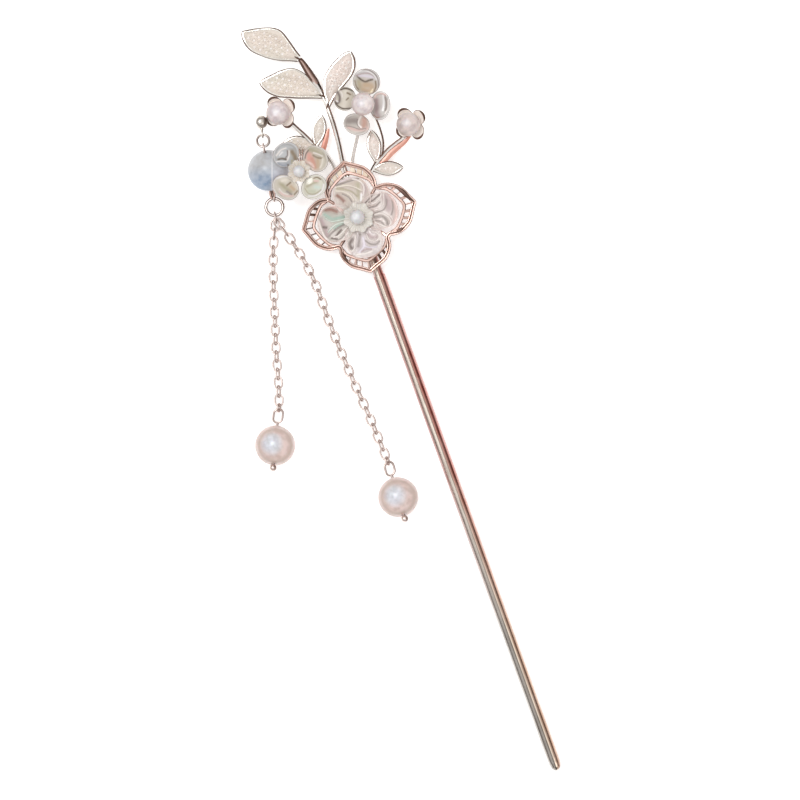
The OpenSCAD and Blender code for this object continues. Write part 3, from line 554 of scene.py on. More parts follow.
def rim_reach(angle, share):
    """The rim's distance from the middle at an angle from the petal's heading."""
    return FRAME_REACH * lookup(abs(angle), RIM_REACH) * (1 + (share - 1) * math.cos(math.radians(2 * angle)))


def rim_spot(angle, turn, share, inward=0.0):
    """A place on the rim, or inward from it by a share of the gap to the inner rim."""
    reach = rim_reach(angle, share) - inward * RIM_GAP * lookup(abs(angle), RIM_APART)
    return CENTRE + polar(reach, turn + angle, RIM_Z)


# bars of each petal, from its right edge: b broad plate, w wide, t thin, d dark, f fine and dark; the dark
# ones are painted shade
BARS = ["wwwwtwtwt", "bbbbtbbbt", "tddtfftft", "dtwtwdddd"]
BAR_WIDTH = {"w": 0.56, "t": 0.3, "d": 0.56, "f": 0.26}
BAR_SPREAD = 32
PLATE_SECTION = [(-0.5, -0.15), (-0.5, 0.1), (-0.42, 0.16), (0.42, 0.16), (0.5, 0.1), (0.5, -0.15)]
DARK_SECTION = [(-0.5, -0.2), (-0.5, 0.2), (-0.2, 0.42), (0.2, 0.42), (0.5, 0.2), (0.5, -0.2)]
# stretches of rim with a dark face, painted shade: petal, start and end in degrees, and thickness
DARK_RIM = [(0, 0, 27, 0.85), (0, -38, -27, 0.7), (1, 20, 38, 0.55), (2, -40, -20, 0.45), (3, -42, -24, 0.7)]


def make_flower_frame():
    # dark holds the frame's dark lines, painted shade and painted dark reflections
    bm, dark = bmesh.new(), bmesh.new()
    rim = []
    for turn, share in FRAME_PETALS:
        coming = flow([rim_spot(a, turn, share) for a in (-45, -42, -37, -31, -22, -15, -8, 0)], 4)
        going = flow([rim_spot(a, turn, share) for a in (0, 8, 15, 22, 31, 37, 42, 45)], 4)
        rim += coming[1:-1] + going[:-1]
    strips(bm, [rim], RIM_SECTION, closed=True)
    # a dark line in the rim's channel, a painted dark reflection
    wires(dark, [[p + UP * 0.38 for p in rim]], 0.14, sides=1, closed=True)
    inner, pale, broad, spokes, rim_shadow_lines = [], {"w": [], "t": []}, [], [], []
    for i, (turn, share) in enumerate(FRAME_PETALS):
        line = flow([rim_spot(a, turn, share, 1) for a in (-40, -31, -22, -12, 0, 12, 22, 31, 40)], 5)
        inner.append(line)
        # a dark line just outside each inner rim, a painted shadow
        rim_shadow_lines.append([p + (p - CENTRE).normalized() * 0.24 + UP * 0.12 for p in line])
        for k, kind in enumerate(BARS[i]):
            a = BAR_SPREAD * (2 * k / (len(BARS[i]) - 1) - 1)
            out, into = rim_spot(a, turn, share, 0.1), rim_spot(a, turn, share, 0.92)
            bar = [out, (out + into) / 2 + UP * 0.12, into]
            if kind == "b":
                broad.append(bar)
            elif kind in "df":
                wires(dark, [bar], BAR_WIDTH[kind], sides=2)
            else:
                pale[kind].append(bar)
            # a dark line along one side of each wide bar, painted shade
            if kind == "w":
                edge = (into - out).cross(UP).normalized() * 0.27
                wires(dark, [[p + edge - UP * 0.02 for p in bar]], 0.12, sides=1)
        spokes.append([CENTRE + polar(HUB_R - 0.2, turn + 45, HUB_Z + 0.35),
                       CENTRE + polar(rim_reach(45, share), turn + 45, RIM_Z - 0.3)])
    strips(bm, inner, INNER_SECTION)
    for kind, bars in pale.items():
        wires(bm, bars, BAR_WIDTH[kind], sides=2)
    plates = bmesh.new()
    strips(plates, [(bar, [1.05] * 3) for bar in broad], PLATE_SECTION)
    piece("flower_frame_plates", plates, SAND, crease=22)
    wires(bm, spokes, 0.7, sides=3)
    wires(dark, rim_shadow_lines, 0.1, sides=1)
    for i, first, last, thick in DARK_RIM:
        turn, share = FRAME_PETALS[i]
        line = [rim_spot(first + (last - first) * k / 12, turn, share, 0.1) + UP * 0.42 for k in range(13)]
        swell = [thick * (0.25 + 0.75 * math.sin(math.pi * k / 12)) for k in range(13)]
        strips(dark, [(line, swell)], DARK_SECTION)
    bmesh.ops.create_cone(bm, cap_ends=True, segments=48, radius1=HUB_R, radius2=HUB_R, depth=0.6,
                          matrix=Matrix.Translation(CENTRE + UP * (HUB_Z + 0.3)))
    piece("flower_frame_openwork", bm, ROSE, ["flower_frame"], crease=22)
    piece("flower_frame_shade_lines", dark, PAINTED_SHADE)


make_flower_frame()


# Shell flower and its stamen

SHELL_R, SHELL_Z, SHELL_T = 8.2, 2.0, 0.55
# heading and tone of each petal
SHELL_PETALS = [(-2, (0.79, 0.72, 0.70)), (87, (0.81, 0.76, 0.71)), (174.5, (0.76, 0.74, 0.70)),
                (265, (0.81, 0.77, 0.77))]
# tone, width, height and path of each fold, the path from the flower's middle to the picture's right and up;
# the raised milk and white ones are painted highlights, the sunk grey, smoke and brown ones painted shade
SHELL_STROKES = [
    ("mauve", 0.8, -0.1, [(-7.4, -0.3), (-6.9, -1.6), (-6.4, -2.6), (-6.2, -3.6)]),
    ("blush", 0.4, 0.15, [(-7.6, 0.6), (-6.8, 1.9), (-5.0, 2.2), (-3.2, 1.5)]),
    ("brown", 0.6, -0.2, [(-6.5, 1.5), (-5.4, 1.6), (-4.3, 1.2)]),
    ("teal", 0.62, 0.05, [(-6.7, 0.6), (-5.9, 0.1), (-5.1, -0.3), (-3.8, 0.0), (-2.6, 0.1)]),
    ("mint", 0.26, 0.3, [(-6.6, -0.1), (-5.4, -0.75), (-4.2, -0.6), (-2.8, -0.3)]),
    ("smoke", 0.4, -0.2, [(-6.9, -1.9), (-6.3, -2.0)]),
    ("milk", 0.36, 0.2, [(-7.9, -0.6), (-7.4, -2.2), (-6.8, -3.6), (-5.9, -4.6)]),
    ("teal", 0.36, 0.1, [(-4.8, -2.2), (-4.0, -1.6), (-2.9, -1.3)]),
    ("mint", 0.3, 0.3, [(-6.0, -2.9), (-5.2, -1.9), (-4.2, -1.25), (-2.9, -0.9)]),
    ("grey", 0.3, -0.15, [(-5.9, -3.7), (-5.1, -2.9), (-3.8, -1.9), (-2.8, -1.4)]),
    ("smoke", 0.34, -0.2, [(-4.5, -3.8), (-3.9, -3.0), (-3.4, -2.4)]),
    ("smoke", 0.3, -0.2, [(-5.3, -4.1), (-4.2, -4.3)]),
    ("milk", 0.3, 0.2, [(-4.9, -3.9), (-3.9, -3.6), (-2.9, -2.6), (-2.1, -1.8)]),
    ("grey", 0.2, -0.1, [(-4.4, -4.7), (-3.2, -3.9), (-2.3, -2.7)]),
    ("milk", 0.34, 0.25, [(-5.9, -5.0), (-4.6, -5.0), (-3.1, -4.3), (-2.0, -2.9)]),
    ("brown", 0.55, -0.2, [(-4.2, 4.4), (-3.5, 3.9), (-2.9, 3.3)]),
    ("olive", 0.8, 0.0, [(-0.1, 6.6), (0.0, 5.2), (0.2, 4.0)]),
    ("mauve", 0.8, 0.0, [(1.2, 6.4), (1.3, 5.4), (1.0, 4.7)]),
    ("rosy", 0.7, 0.0, [(1.2, 8.2), (1.5, 7.4)]),
    ("grey", 0.24, -0.15, [(-4.3, 7.3), (-2.8, 7.85), (-1.2, 8.3)]),
    ("lilac", 0.42, 0.3, [(-4.8, 6.8), (-3.4, 7.2), (-2.0, 7.8), (-0.6, 8.1)]),
    ("grey", 0.24, -0.15, [(-4.5, 6.4), (-2.8, 6.9), (-1.2, 7.4), (0.4, 7.9)]),
    ("cream", 0.32, 0.25, [(-4.5, 6.0), (-2.6, 6.4), (-1.0, 6.2), (0.6, 5.4)]),
    ("olive", 0.26, -0.15, [(-4.2, 5.8), (-2.6, 5.6), (-1.2, 5.1), (-0.2, 4.2)]),
    ("cream", 0.34, 0.25, [(-4.5, 5.3), (-3.2, 5.2), (-1.8, 4.6), (-0.9, 3.5)]),
    ("grey", 0.2, -0.1, [(-3.2, 4.7), (-2.0, 4.1), (-1.3, 3.2)]),
    ("milk", 0.3, 0.2, [(-1.2, 7.7), (0.2, 7.3), (1.1, 6.2), (1.0, 4.4)]),
    ("white", 0.45, 0.15, [(0.6, 4.6), (0.5, 3.4)]),
    ("mauve", 1.0, 0.0, [(5.2, 4.2), (5.9, 3.0), (6.0, 1.8)]),
    ("smoke", 0.22, -0.15, [(1.4, 3.0), (2.3, 3.9), (3.2, 4.8), (4.6, 5.1)]),
    ("smoke", 0.26, -0.15, [(2.1, 3.1), (3.0, 3.5), (4.2, 4.6)]),
    ("milk", 0.26, 0.25, [(2.1, 2.6), (3.2, 2.9), (4.2, 3.8), (4.5, 4.6)]),
    ("grey", 0.24, -0.15, [(2.2, 2.0), (3.4, 2.3), (4.3, 3.1)]),
    ("milk", 0.26, 0.25, [(5.0, 4.7), (5.1, 3.2), (4.6, 2.0), (3.2, 1.5)]),
    ("grey", 0.22, -0.1, [(5.6, 3.6), (5.5, 2.4), (4.9, 1.5), (3.3, 1.0)]),
    ("grey", 0.24, -0.1, [(6.7, 3.4), (6.9, 2.0), (6.6, 0.6)]),
    ("blush", 0.5, 0.1, [(6.3, 4.5), (7.2, 3.2), (7.6, 1.6), (7.5, 0.0), (6.9, -1.4)]),
    ("grey", 0.4, -0.15, [(3.3, 0.1), (4.8, 0.2), (5.6, -0.5), (5.8, -1.2)]),
    ("milk", 0.3, 0.3, [(3.2, 0.6), (4.6, 0.85), (5.9, 0.2), (6.5, -0.8), (6.2, -1.6)]),
    ("grey", 0.22, -0.1, [(3.4, -0.5), (4.5, -0.8), (5.2, -1.5)]),
    ("milk", 0.3, 0.2, [(3.3, -0.9), (4.5, -1.4), (5.7, -1.9)]),
    ("smoke", 0.6, -0.2, [(-1.2, -4.3), (-1.6, -5.2), (-1.3, -6.0)]),
    ("milk", 0.3, 0.25, [(-0.6, -3.5), (-0.7, -5.0), (-0.8, -6.2), (-1.4, -6.7), (-2.1, -6.1), (-2.2, -4.9)]),
    ("grey", 0.4, -0.15, [(0.3, -3.3), (0.2, -4.5), (0.0, -5.7)]),
    ("lilac", 0.55, 0.2, [(0.2, -6.9), (0.9, -6.1), (1.2, -5.2), (0.9, -4.0)]),
    ("grey", 0.26, -0.15, [(1.5, -4.6), (2.3, -5.2), (3.4, -5.3), (4.2, -4.7)]),
    ("mauve", 0.5, -0.1, [(2.1, -3.4), (2.8, -3.9), (3.6, -3.8)]),
    ("milk", 0.26, 0.3, [(1.6, -3.3), (2.2, -4.4), (3.4, -4.7), (4.1, -3.9), (3.7, -3.0), (2.7, -2.8)]),
    ("lilac", 0.3, 0.2, [(1.1, -5.5), (2.2, -5.95), (3.6, -5.8)]),
    ("mauve", 0.24, -0.1, [(0.7, -6.8), (1.5, -6.3), (2.6, -6.3)]),
    ("milk", 0.36, 0.2, [(-0.3, -7.3), (1.2, -7.2), (2.7, -6.7)]),
]


def blend(a, b, t):
    """From tone a to tone b by the share t."""
    t = min(1.0, max(0.0, t))
    return tuple(p + (q - p) * t for p, q in zip(a, b))


TONES = {
    "white": (0.97, 0.96, 0.96), "milk": (0.97, 0.94, 0.92), "cream": (0.93, 0.90, 0.85),
    "glint": (0.97, 0.90, 0.74), "blush": (0.91, 0.79, 0.76), "rosy": (0.80, 0.64, 0.58),
    "pink": (0.92, 0.68, 0.63), "coral": (0.84, 0.61, 0.54), "tan": (0.80, 0.70, 0.59),
    "olive": (0.72, 0.69, 0.59), "green": (0.81, 0.82, 0.73), "mint": (0.86, 0.91, 0.87),
    "teal": (0.65, 0.74, 0.69), "lilac": (0.90, 0.87, 0.91), "mauve": (0.71, 0.63, 0.63),
    "blue": (0.66, 0.68, 0.72), "grey": (0.61, 0.57, 0.55), "smoke": (0.49, 0.44, 0.42),
    "brown": (0.60, 0.45, 0.40), "bark": (0.56, 0.49, 0.40), "dark": (0.38, 0.33, 0.28),
}


class Drawing:
    """Raised and sunk folds and tinted patches that lie over the petals of a flower, among them painted
    highlights and painted shade.
    """

    def __init__(self, folds):
        self.folds = []
        for tone, width, height, spots in folds:
            path = flow([Vector((*q, 0)) for q in spots], 3)
            low = [min(q[k] for q in path) - width for k in (0, 1)]
            high = [max(q[k] for q in path) + width for k in (0, 1)]
            self.folds.append((TONES[tone], width, height, path, low, high))

    def at(self, off, ground):
        """The tone and the height at a place given from the flower's middle."""
        p = Matrix.Rotation(PHOTO_TURN, 3, "Z") @ Vector((off.x, off.y, 0))
        rise = 0.0
        for tone, width, height, path, low, high in self.folds:
            if not (low[0] < p.x < high[0] and low[1] < p.y < high[1]):
                continue
            near = min(self.gap(p, a, b) for a, b in zip(path, path[1:]))
            share = 1 / (1 + (near / (0.5 * width)) ** (4 if width < 0.5 else 2.6))
            ground = blend(ground, tone, share)
            rise = rise * (1 - share) + height * share
        return ground, rise

    @staticmethod
    def gap(p, a, b):
        """From p to the line between a and b."""
        line = b - a
        t = min(1.0, max(0.0, (p - a).dot(line) / max(1e-9, line.length_squared)))
        return (a + line * t - p).length


def petal_width(t, fullness):
    """Half width, as a share, along a petal from 0 at its base to 1 at its tip."""
    return max(0.0, 1 - abs(2 * t - 1) ** fullness) ** (1 / 2.1)


def make_shell_flower():
    bm, drawing = bmesh.new(), Drawing(SHELL_STROKES)
    for turn, base in SHELL_PETALS:
        @lru_cache(None)
        def shape(u, v):
            """Place on the petal, distance out, share across, tone and how high the carving stands."""
            t, y = 0.5 - 0.5 * math.cos(math.pi * u), 2 * v - 1
            along = SHELL_R * (0.2 + 0.8 * t)
            across = SHELL_R * 0.45 * petal_width(0.12 + 0.88 * t, 2.8) * y
            off = polar(along, turn) + polar(across, turn + 90)
            flute = (1 - abs(math.sin(5 * math.pi * y))) ** 2 * max(0.0, 1 - 1.6 * t)
            cloud = noise.noise((off.x * 0.5, off.y * 0.5, turn))
            hair = (1 - abs(math.sin(13 * math.pi * y + 3 * math.sin(4 * t + turn)))) ** 2 * (1 - 0.45 * t)
            # the flute crests are painted paler, a painted highlight; the fine hair lines are darker and
            # carved in
            ground = blend(blend(base, (0.92, 0.89, 0.87), 0.4 + cloud), (0.95, 0.93, 0.90), 0.6 * flute)
            ground = blend(ground, (0.56, 0.51, 0.49), 0.5 * hair)
            ground, carving = drawing.at(off, ground)
            edge = max(0.0, abs(y) - 0.88, t - 0.9) / 0.1
            carving += 0.1 * flute - 0.06 * hair + 0.12 * edge
            return off, along, y, blend(ground, (0.93, 0.87, 0.85), edge), carving

        def spot(u, v):
            off, along, y, _, carving = shape(u, v)
            cup = 0.45 * y * y * math.sin(math.pi * min(1, along / SHELL_R))
            return CENTRE + off + UP * (SHELL_Z + 0.6 + 1.25 * (along / SHELL_R) ** 1.6 + carving + cup)
        thicken(bm, sheet(bm, 84, 100, spot, lambda u, v: shape(u, v)[3]), SHELL_T)
    piece("carved_shell_flower", bm, SHELL, ["shell_flower"], crease=60)


SCALLOPS = 8
SMALL_CUP = CENTRE + Vector((-8, 12.6, 5.95))


def fluted_cup(bm, middle, reach, rise, flutes, heart, rim, thickness):
    """A scalloped cup with radial flutes whose crests are painted whiter, a painted highlight. heart and rim
    are its tones.
    """
    def spot(u, v):
        edge = reach * (0.93 + 0.07 * math.cos(2 * math.pi * SCALLOPS * v))
        flute = 0.5 + 0.5 * math.cos(2 * math.pi * flutes * v)
        z = rise * u ** 1.8 + 0.16 * flute * u + thickness
        return middle + polar(edge * (0.04 + 0.96 * u), 360 * v, z)

    def tone(u, v):
        flute = 0.5 + 0.5 * math.cos(2 * math.pi * flutes * v)
        return blend(blend(heart, rim, u), (1, 1, 1), 0.55 * flute * u)
    thicken(bm, sheet(bm, 12, 192, spot, tone), thickness)


def make_cups():
    bm = bmesh.new()
    fluted_cup(bm, CENTRE + UP * 2.8, 3.1, 0.55, 24, (0.98, 0.97, 0.93), (0.94, 0.92, 0.88), 0.42)
    piece("fluted_stamen_cup", bm, CUP, ["stamen_cup"], crease=60)
    bm = bmesh.new()
    fluted_cup(bm, SMALL_CUP, 2.3, 0.85, 16, (0.96, 0.92, 0.86), (0.98, 0.94, 0.88), 0.34)
    piece("fluted_small_cup", bm, CUP, ["lower_flower_cup"], crease=60)


make_shell_flower()
make_cups()


# Leaves

# share of the length from base to tip, shares of the width left and right of the midrib
TOP_LEAF = [(0, 0.05, 0.05), (0.1, 0.13, 0.16), (0.27, 0.29, 0.38), (0.45, 0.39, 0.57), (0.6, 0.42, 0.53),
            (0.75, 0.41, 0.36), (0.88, 0.28, 0.17), (0.96, 0.13, 0.06), (1, 0, 0)]
LEFT_LEAF = [(0, 0.04, 0.05), (0.1, 0.08, 0.2), (0.2, 0.13, 0.35), (0.36, 0.21, 0.59), (0.53, 0.27, 0.68),
             (0.68, 0.31, 0.56), (0.83, 0.25, 0.31), (0.94, 0.13, 0.12), (1, 0, 0)]
RIGHT_LEAF = [(0, 0.05, 0.05), (0.08, 0.12, 0.07), (0.2, 0.36, 0.11), (0.42, 0.57, 0.26), (0.63, 0.51, 0.41),
              (0.79, 0.37, 0.39), (0.91, 0.22, 0.24), (0.97, 0.1, 0.1), (1, 0, 0)]
SMALL_LEAF = [(0, 0.05, 0.05), (0.1, 0.16, 0.16), (0.25, 0.35, 0.35), (0.42, 0.48, 0.48), (0.58, 0.5, 0.5),
              (0.74, 0.4, 0.4), (0.88, 0.21, 0.21), (1, 0, 0)]


class Leaf:
    """A leaf tray: its base, heading, size and shape, its wire's thickness and its field's depth."""

    def __init__(self, base, turn, length, width, shape, wire, fill):
        self.base, self.turn, self.length, self.width = base, turn, length - wire, width - wire
        self.shape, self.wire, self.fill = shape, wire, fill
        self.floor = -0.4 * wire + 0.4

    def side(self, column, inset=0.0, lift=0.0):
        """The path of one side, from base to tip, drawn in by inset."""
        sign = 1 if column == 1 else -1
        points = []
        for q in self.shape:
            along = self.wire / 2 + inset + q[0] * (self.length - 2 * inset)
            across = max(0.0, q[column] * self.width - inset * min(1, 6 * (1 - q[0]) + 0.3))
            points.append(Vector((along, sign * across, lift)))
        return place(flow(points, 5), self.base, self.turn)

    def outline(self, inset, lift=0.0):
        return self.side(1, inset, lift) + self.side(2, inset, lift)[-2::-1]

    def half(self, x, column):
        """The width of one side at a distance from the base."""
        return lookup(x, [(q[0] * self.length, q[column] * self.width) for q in self.shape])


# the dark line outside a leaf's rim, painted shade, and how far apart granules and their rows lie
FINE_LINE, GRANULE_PITCH, ROW_PITCH = 0.13, 1.16, 0.87


def leaf_tray(bm, dark, leaf, lines=((2, 0.1, 0.9, 0.17),)):
    """The tray's floor and rounded rim. lines are dark lines of painted shade along it: side, start, end and
    thickness.
    """
    w = leaf.wire
    section = [(-0.5 * w, -0.5 * w), (-0.5 * w, 0.26 * w), (-0.4 * w, 0.34 * w), (-0.1 * w, 0.4 * w),
               (0.1 * w, 0.4 * w), (0.3 * w, 0.34 * w), (0.5 * w, 0.2 * w), (0.5 * w, -0.5 * w)]
    strips(bm, [leaf.side(1), leaf.side(2)[::-1]], section)
    wires(dark, [leaf.side(1, -0.46 * w, 0.3 * w), leaf.side(2, -0.46 * w, 0.3 * w)], FINE_LINE, sides=2)
    for column, start, end, thick in lines:
        line = leaf.side(column, -0.36 * w, 0.36 * w)
        line = line[round(start * (len(line) - 1)):round(end * (len(line) - 1)) + 1]
        swell = [0.35 + 0.65 * math.sin(math.pi * k / (len(line) - 1)) for k in range(len(line))]
        wires(dark, [(line, swell)], thick, sides=2)
    grow(bm, [bm.faces.new([bm.verts.new(p) for p in leaf.outline(0.1, -0.4 * w)[:-1]])], 0.3)


def leaf_field(bm, leaf, size, seed, ground):
    """A crowned field of round granules in the tray, every few painted white as glints."""
    rng = random.Random(seed)
    low = leaf.floor + 0.02
    edge = leaf.outline(leaf.wire * 0.15)
    rib = place([Vector((leaf.wire / 2 + leaf.length * k / 20, 0, 0)) for k in range(21)],
                leaf.base, leaf.turn)

    def spot(u, v):
        p = edge[round(v * (len(edge) - 1))]
        near = min(rib[2:-2], key=lambda q: (q - p).length)
        crown = leaf.fill * (0.22 + 0.48 * (1 - (1 - u) ** 2))
        return p.lerp(near, u) + UP * (low + crown)
    sheet(bm, 5, len(edge) - 1, spot, lambda u, v: ground)
    pitch = size * GRANULE_PITCH
    margin = leaf.wire * 0.3 + size * 0.45
    for row in range(int(2 * leaf.width / pitch) + 1):
        y = row * pitch * ROW_PITCH - leaf.width * ROW_PITCH
        for column in range(int(leaf.length / pitch) + 1):
            x = column * pitch + (row % 2) * pitch / 2 + rng.uniform(-0.06, 0.06)
            across = y + rng.uniform(-0.06, 0.06)
            left, right = leaf.half(x, 1), leaf.half(x, 2)
            room = min(left - across, across + right, x, (leaf.length - x) * 0.8) - margin
            if room < 0:
                continue
            z = low + leaf.fill * (0.4 + 0.35 * min(1.0, room / 1.1)) + rng.uniform(-0.04, 0.05)
            middle = place([Vector((x + leaf.wire / 2, across, z))], leaf.base, leaf.turn)[0]
            # every few granules are painted near white: painted glints
            painted_glint = row % 2 == 0 and (column + row // 2) % 2 == 0
            tone = blend(ground, (1.0, 0.99, 0.98), 1.0 if painted_glint else rng.uniform(0.0, 0.3))
            granule(bm, middle, size * rng.uniform(0.95, 1.15 if painted_glint else 0.7), tone)


# heights of the stems' roots and of the pearl cups, widths of a stem and of the sprig's band, and lengths
ROOT_Z, CUP_Z, STEM, BAND_W = 1.25, 1.85, 0.9, 1.5
SPRIG_L, LEFT_L, RIGHT_L = 22.4, 16, 12.4
SPRIG_ROOT = CENTRE + polar(FRAME_REACH * 0.985, 86, ROOT_Z)
# share across and along, then share of the way from wire to band
SPRIG = [(0, 0, 0), (0.025, 0.18, 0), (0.04, 0.36, 0), (0.04, 0.52, 0), (0.035, 0.62, 0.1),
         (0.03, 0.69, 0.3), (0.01, 0.77, 1), (-0.012, 0.86, 1), (-0.035, 0.96, 0.4), (-0.05, 1, 0)]
SPRIG_SPOTS = [SPRIG_ROOT + Vector((q[0] * SPRIG_L, q[1] * SPRIG_L, 0.8 * min(1, 2.5 * q[1]))) for q in SPRIG]
LEFT_ROOT = CENTRE + polar(FRAME_REACH * 0.88, 96, ROOT_Z)
RIGHT_ROOT = CENTRE + polar(FRAME_REACH * 0.87, 54, ROOT_Z)
LEFT_BRANCH = [(0.06, -0.14), (0, 0), (-0.015, 0.13), (-0.06, 0.3), (-0.13, 0.38), (-0.21, 0.55),
               (-0.32, 0.76), (-0.355, 0.88), (-0.36, 0.93)]
RIGHT_BRANCH = [(-0.12, -0.12), (0, 0), (0.1, 0.08), (0.23, 0.15), (0.36, 0.22), (0.5, 0.27), (0.64, 0.32),
                (0.88, 0.48)]
VINE = [(0.2, 0.13), (0.3, 0.33), (0.33, 0.55), (0.32, 0.85)]


def branch_spots(root, length, table):
    """A stem's path from shares of its length, rising to the cup's height."""
    return [root + Vector((x * length, y * length, (CUP_Z - ROOT_Z) * max(0, y))) for x, y in table]


LEFT_SPOTS = branch_spots(LEFT_ROOT, LEFT_L, LEFT_BRANCH)
RIGHT_SPOTS = branch_spots(RIGHT_ROOT, RIGHT_L, RIGHT_BRANCH)
VINE_SPOTS = branch_spots(RIGHT_ROOT, RIGHT_L, VINE)

top_leaf = Leaf(SPRIG_SPOTS[9], 135, 12.8, 6.3, TOP_LEAF, 0.7, 0.75)
left_leaf = Leaf(SPRIG_SPOTS[4], 148, 13, 6.3, LEFT_LEAF, 0.7, 0.75)
right_leaf = Leaf(SPRIG_SPOTS[3], 47, 12, 5, RIGHT_LEAF, 0.7, 0.75)
left_small = Leaf(LEFT_SPOTS[4], 60, 6.5, 2.8, SMALL_LEAF, 0.55, 0.5)
back_leaf = Leaf(LEFT_SPOTS[4], 157, 7, 3.9, SMALL_LEAF, 0.55, 0.5)
right_small_a = Leaf(RIGHT_SPOTS[2], 79, 6.6, 2.8, SMALL_LEAF, 0.55, 0.5)
right_small_b = Leaf(RIGHT_SPOTS[1], -16, 6.2, 2.8, SMALL_LEAF, 0.55, 0.5)


def flat_side(path, width, height):
    """The points of a strip's other edge, to the right of the path."""
    out = []
    for i, p in enumerate(path):
        along = (path[min(i + 1, len(path) - 1)] - path[max(i - 1, 0)]).normalized()
        out.append(p + along.cross(UP) * width + UP * height)
    return out


# sections one unit wide: a ridged band, the dark lines of painted shade along it, a grooved stem and a
# round-backed stem
BAND = [(-0.5, -0.3), (-0.5, 0.06), (-0.1, 0.34), (0.0, 0.37), (0.1, 0.34), (0.5, 0.06), (0.5, -0.3),
        (0, -0.42)]
BAND_LINE = [(-0.5, -0.3), (-0.5, 0.3), (0, 0.5), (0.5, 0.3), (0.5, -0.3)]
PALE_STALK = [(-0.5, -0.25), (-0.5, 0.26), (-0.44, 0.33), (-0.1, 0.35), (0, 0.24), (0.1, 0.35), (0.44, 0.33),
              (0.5, 0.26), (0.5, -0.25), (0, -0.42)]
STALK = [(-0.5, -0.25), (-0.5, 0.05), (-0.36, 0.26), (-0.1, 0.34), (0.06, 0.34), (0.46, 0.06), (0.46, -0.25),
         (0, -0.42)]


def make_leaf_sprig():
    bm, dark = bmesh.new(), bmesh.new()
    start = [SPRIG_ROOT - Vector((0, RIM_GAP + 0.8, 0))]
    steps = 5
    path = flow(start + SPRIG_SPOTS, steps)
    # the point of the path where the stem turns into the band
    band_from = 36
    widths = []
    for k in range(len(path)):
        way = max(0.0, k / steps - 1)
        i = min(int(way), len(SPRIG) - 2)
        share = SPRIG[i][2] + (SPRIG[i + 1][2] - SPRIG[i][2]) * (way - i)
        widths.append(STEM + (BAND_W - STEM) * share)
    strips(bm, [(path[:band_from], widths[:band_from])], STALK)
    broad = bmesh.new()
    strips(broad, [(path[band_from - 3:], widths[band_from - 3:])], BAND)
    piece("leaf_sprig_band", broad, ROSE, crease=22)
    # dark lines of painted shade along the stem's right side, part of its left and both sides of the band
    wires(dark, [flat_side(path, 0.3, 0.1)[4:band_from + 2]], 0.24, sides=1)
    wires(dark, [flat_side(path, -0.42, 0.0)[4:20]], 0.14, sides=1)
    band, line_widths = path[band_from:], [0.36 * width / BAND_W for width in widths[band_from:]]
    for side in (-1, 1):
        line = [flat_side(band[k:k + 2] if k + 1 < len(band) else band[k - 1:k + 1], side * 1.1 * w, 0.22)[0]
                for k, w in enumerate(line_widths)]
        strips(dark, [(line, [w * 1.5 for w in line_widths])], BAND_LINE)
    trays = bmesh.new()
    leaf_tray(trays, dark, top_leaf, [(2, 0.0, 0.5, 0.3), (2, 0.7, 1.0, 0.18), (1, 0.5, 1.0, 0.15)])
    leaf_tray(trays, dark, left_leaf, [(1, 0.15, 1.0, 0.24), (2, 0.0, 0.3, 0.2), (2, 0.6, 0.95, 0.15)])
    leaf_tray(trays, dark, right_leaf, [(2, 0.0, 0.5, 0.26), (2, 0.4, 1.0, 0.34), (1, 0.35, 0.7, 0.15)])
    # a short dark line of painted shade along the fold at each leaf's base
    for leaf, reach in ((top_leaf, 1.3), (left_leaf, 0.8), (right_leaf, 0.9)):
        crease = [Vector((-0.5, 0, 0.34)), Vector((0.3, 0, 0.36)), Vector((reach, 0, 0.34))]
        wires(dark, [(place(crease, leaf.base, leaf.turn), [0.6, 1, 0.4])], 0.42, sides=2)
    piece("leaf_sprig_wires", bm, SILVER, ["leaf_sprig"], crease=22)
    piece("leaf_sprig_trays", trays, TRAY, crease=22)
    piece("leaf_sprig_shade_lines", dark, PAINTED_SHADE)


def make_leaf_fields():
    cream, pink, grey = (0.87, 0.84, 0.79), (0.89, 0.84, 0.81), (0.85, 0.82, 0.78)
    fields = [("top_leaf_fill", top_leaf, 0.54, cream), ("left_leaf_fill", left_leaf, 0.54, cream),
              ("right_leaf_fill", right_leaf, 0.54, pink), ("left_small_fill", left_small, 0.48, grey),
              ("back_leaf_fill", back_leaf, 0.5, cream), ("right_small_fill_a", right_small_a, 0.48, pink),
              ("right_small_fill_b", right_small_b, 0.48, grey)]
    for seed, (name, leaf, size, ground) in enumerate(fields):
        bm = bmesh.new()
        leaf_field(bm, leaf, size, seed + 1, ground)
        piece(name + "_granules", bm, GRANULES, [name], crease=70)


make_leaf_sprig()
make_leaf_fields()


# Pearl branches

CUP_R, CUP_LEAN, CUP_STEPS = 3.4, 22, 96
# each lobe is an ellipse: how far out its middle lies, then half its length and half its width
LOBE_OUT, LOBE_LONG, LOBE_WIDE = 0.6 * CUP_R, 0.4 * CUP_R, 0.42 * CUP_R
# heading of the first lobe
LOBE_TURN = 20


def cup_reach(turn):
    """How far the cup reaches at a heading: out to the far side of the lobe there."""
    best = LOBE_OUT
    for k in range(4):
        off = math.radians(turn - LOBE_TURN - 90 * k)
        if math.cos(off) <= 0:
            continue
        span = (math.cos(off) / LOBE_LONG) ** 2 + (math.sin(off) / LOBE_WIDE) ** 2
        half = LOBE_OUT * math.cos(off) / (LOBE_LONG * LOBE_LONG)
        rest = half * half - span * (LOBE_OUT * LOBE_OUT / (LOBE_LONG * LOBE_LONG) - 1)
        if rest > 0:
            best = max(best, (half + math.sqrt(rest)) / span)
    return best


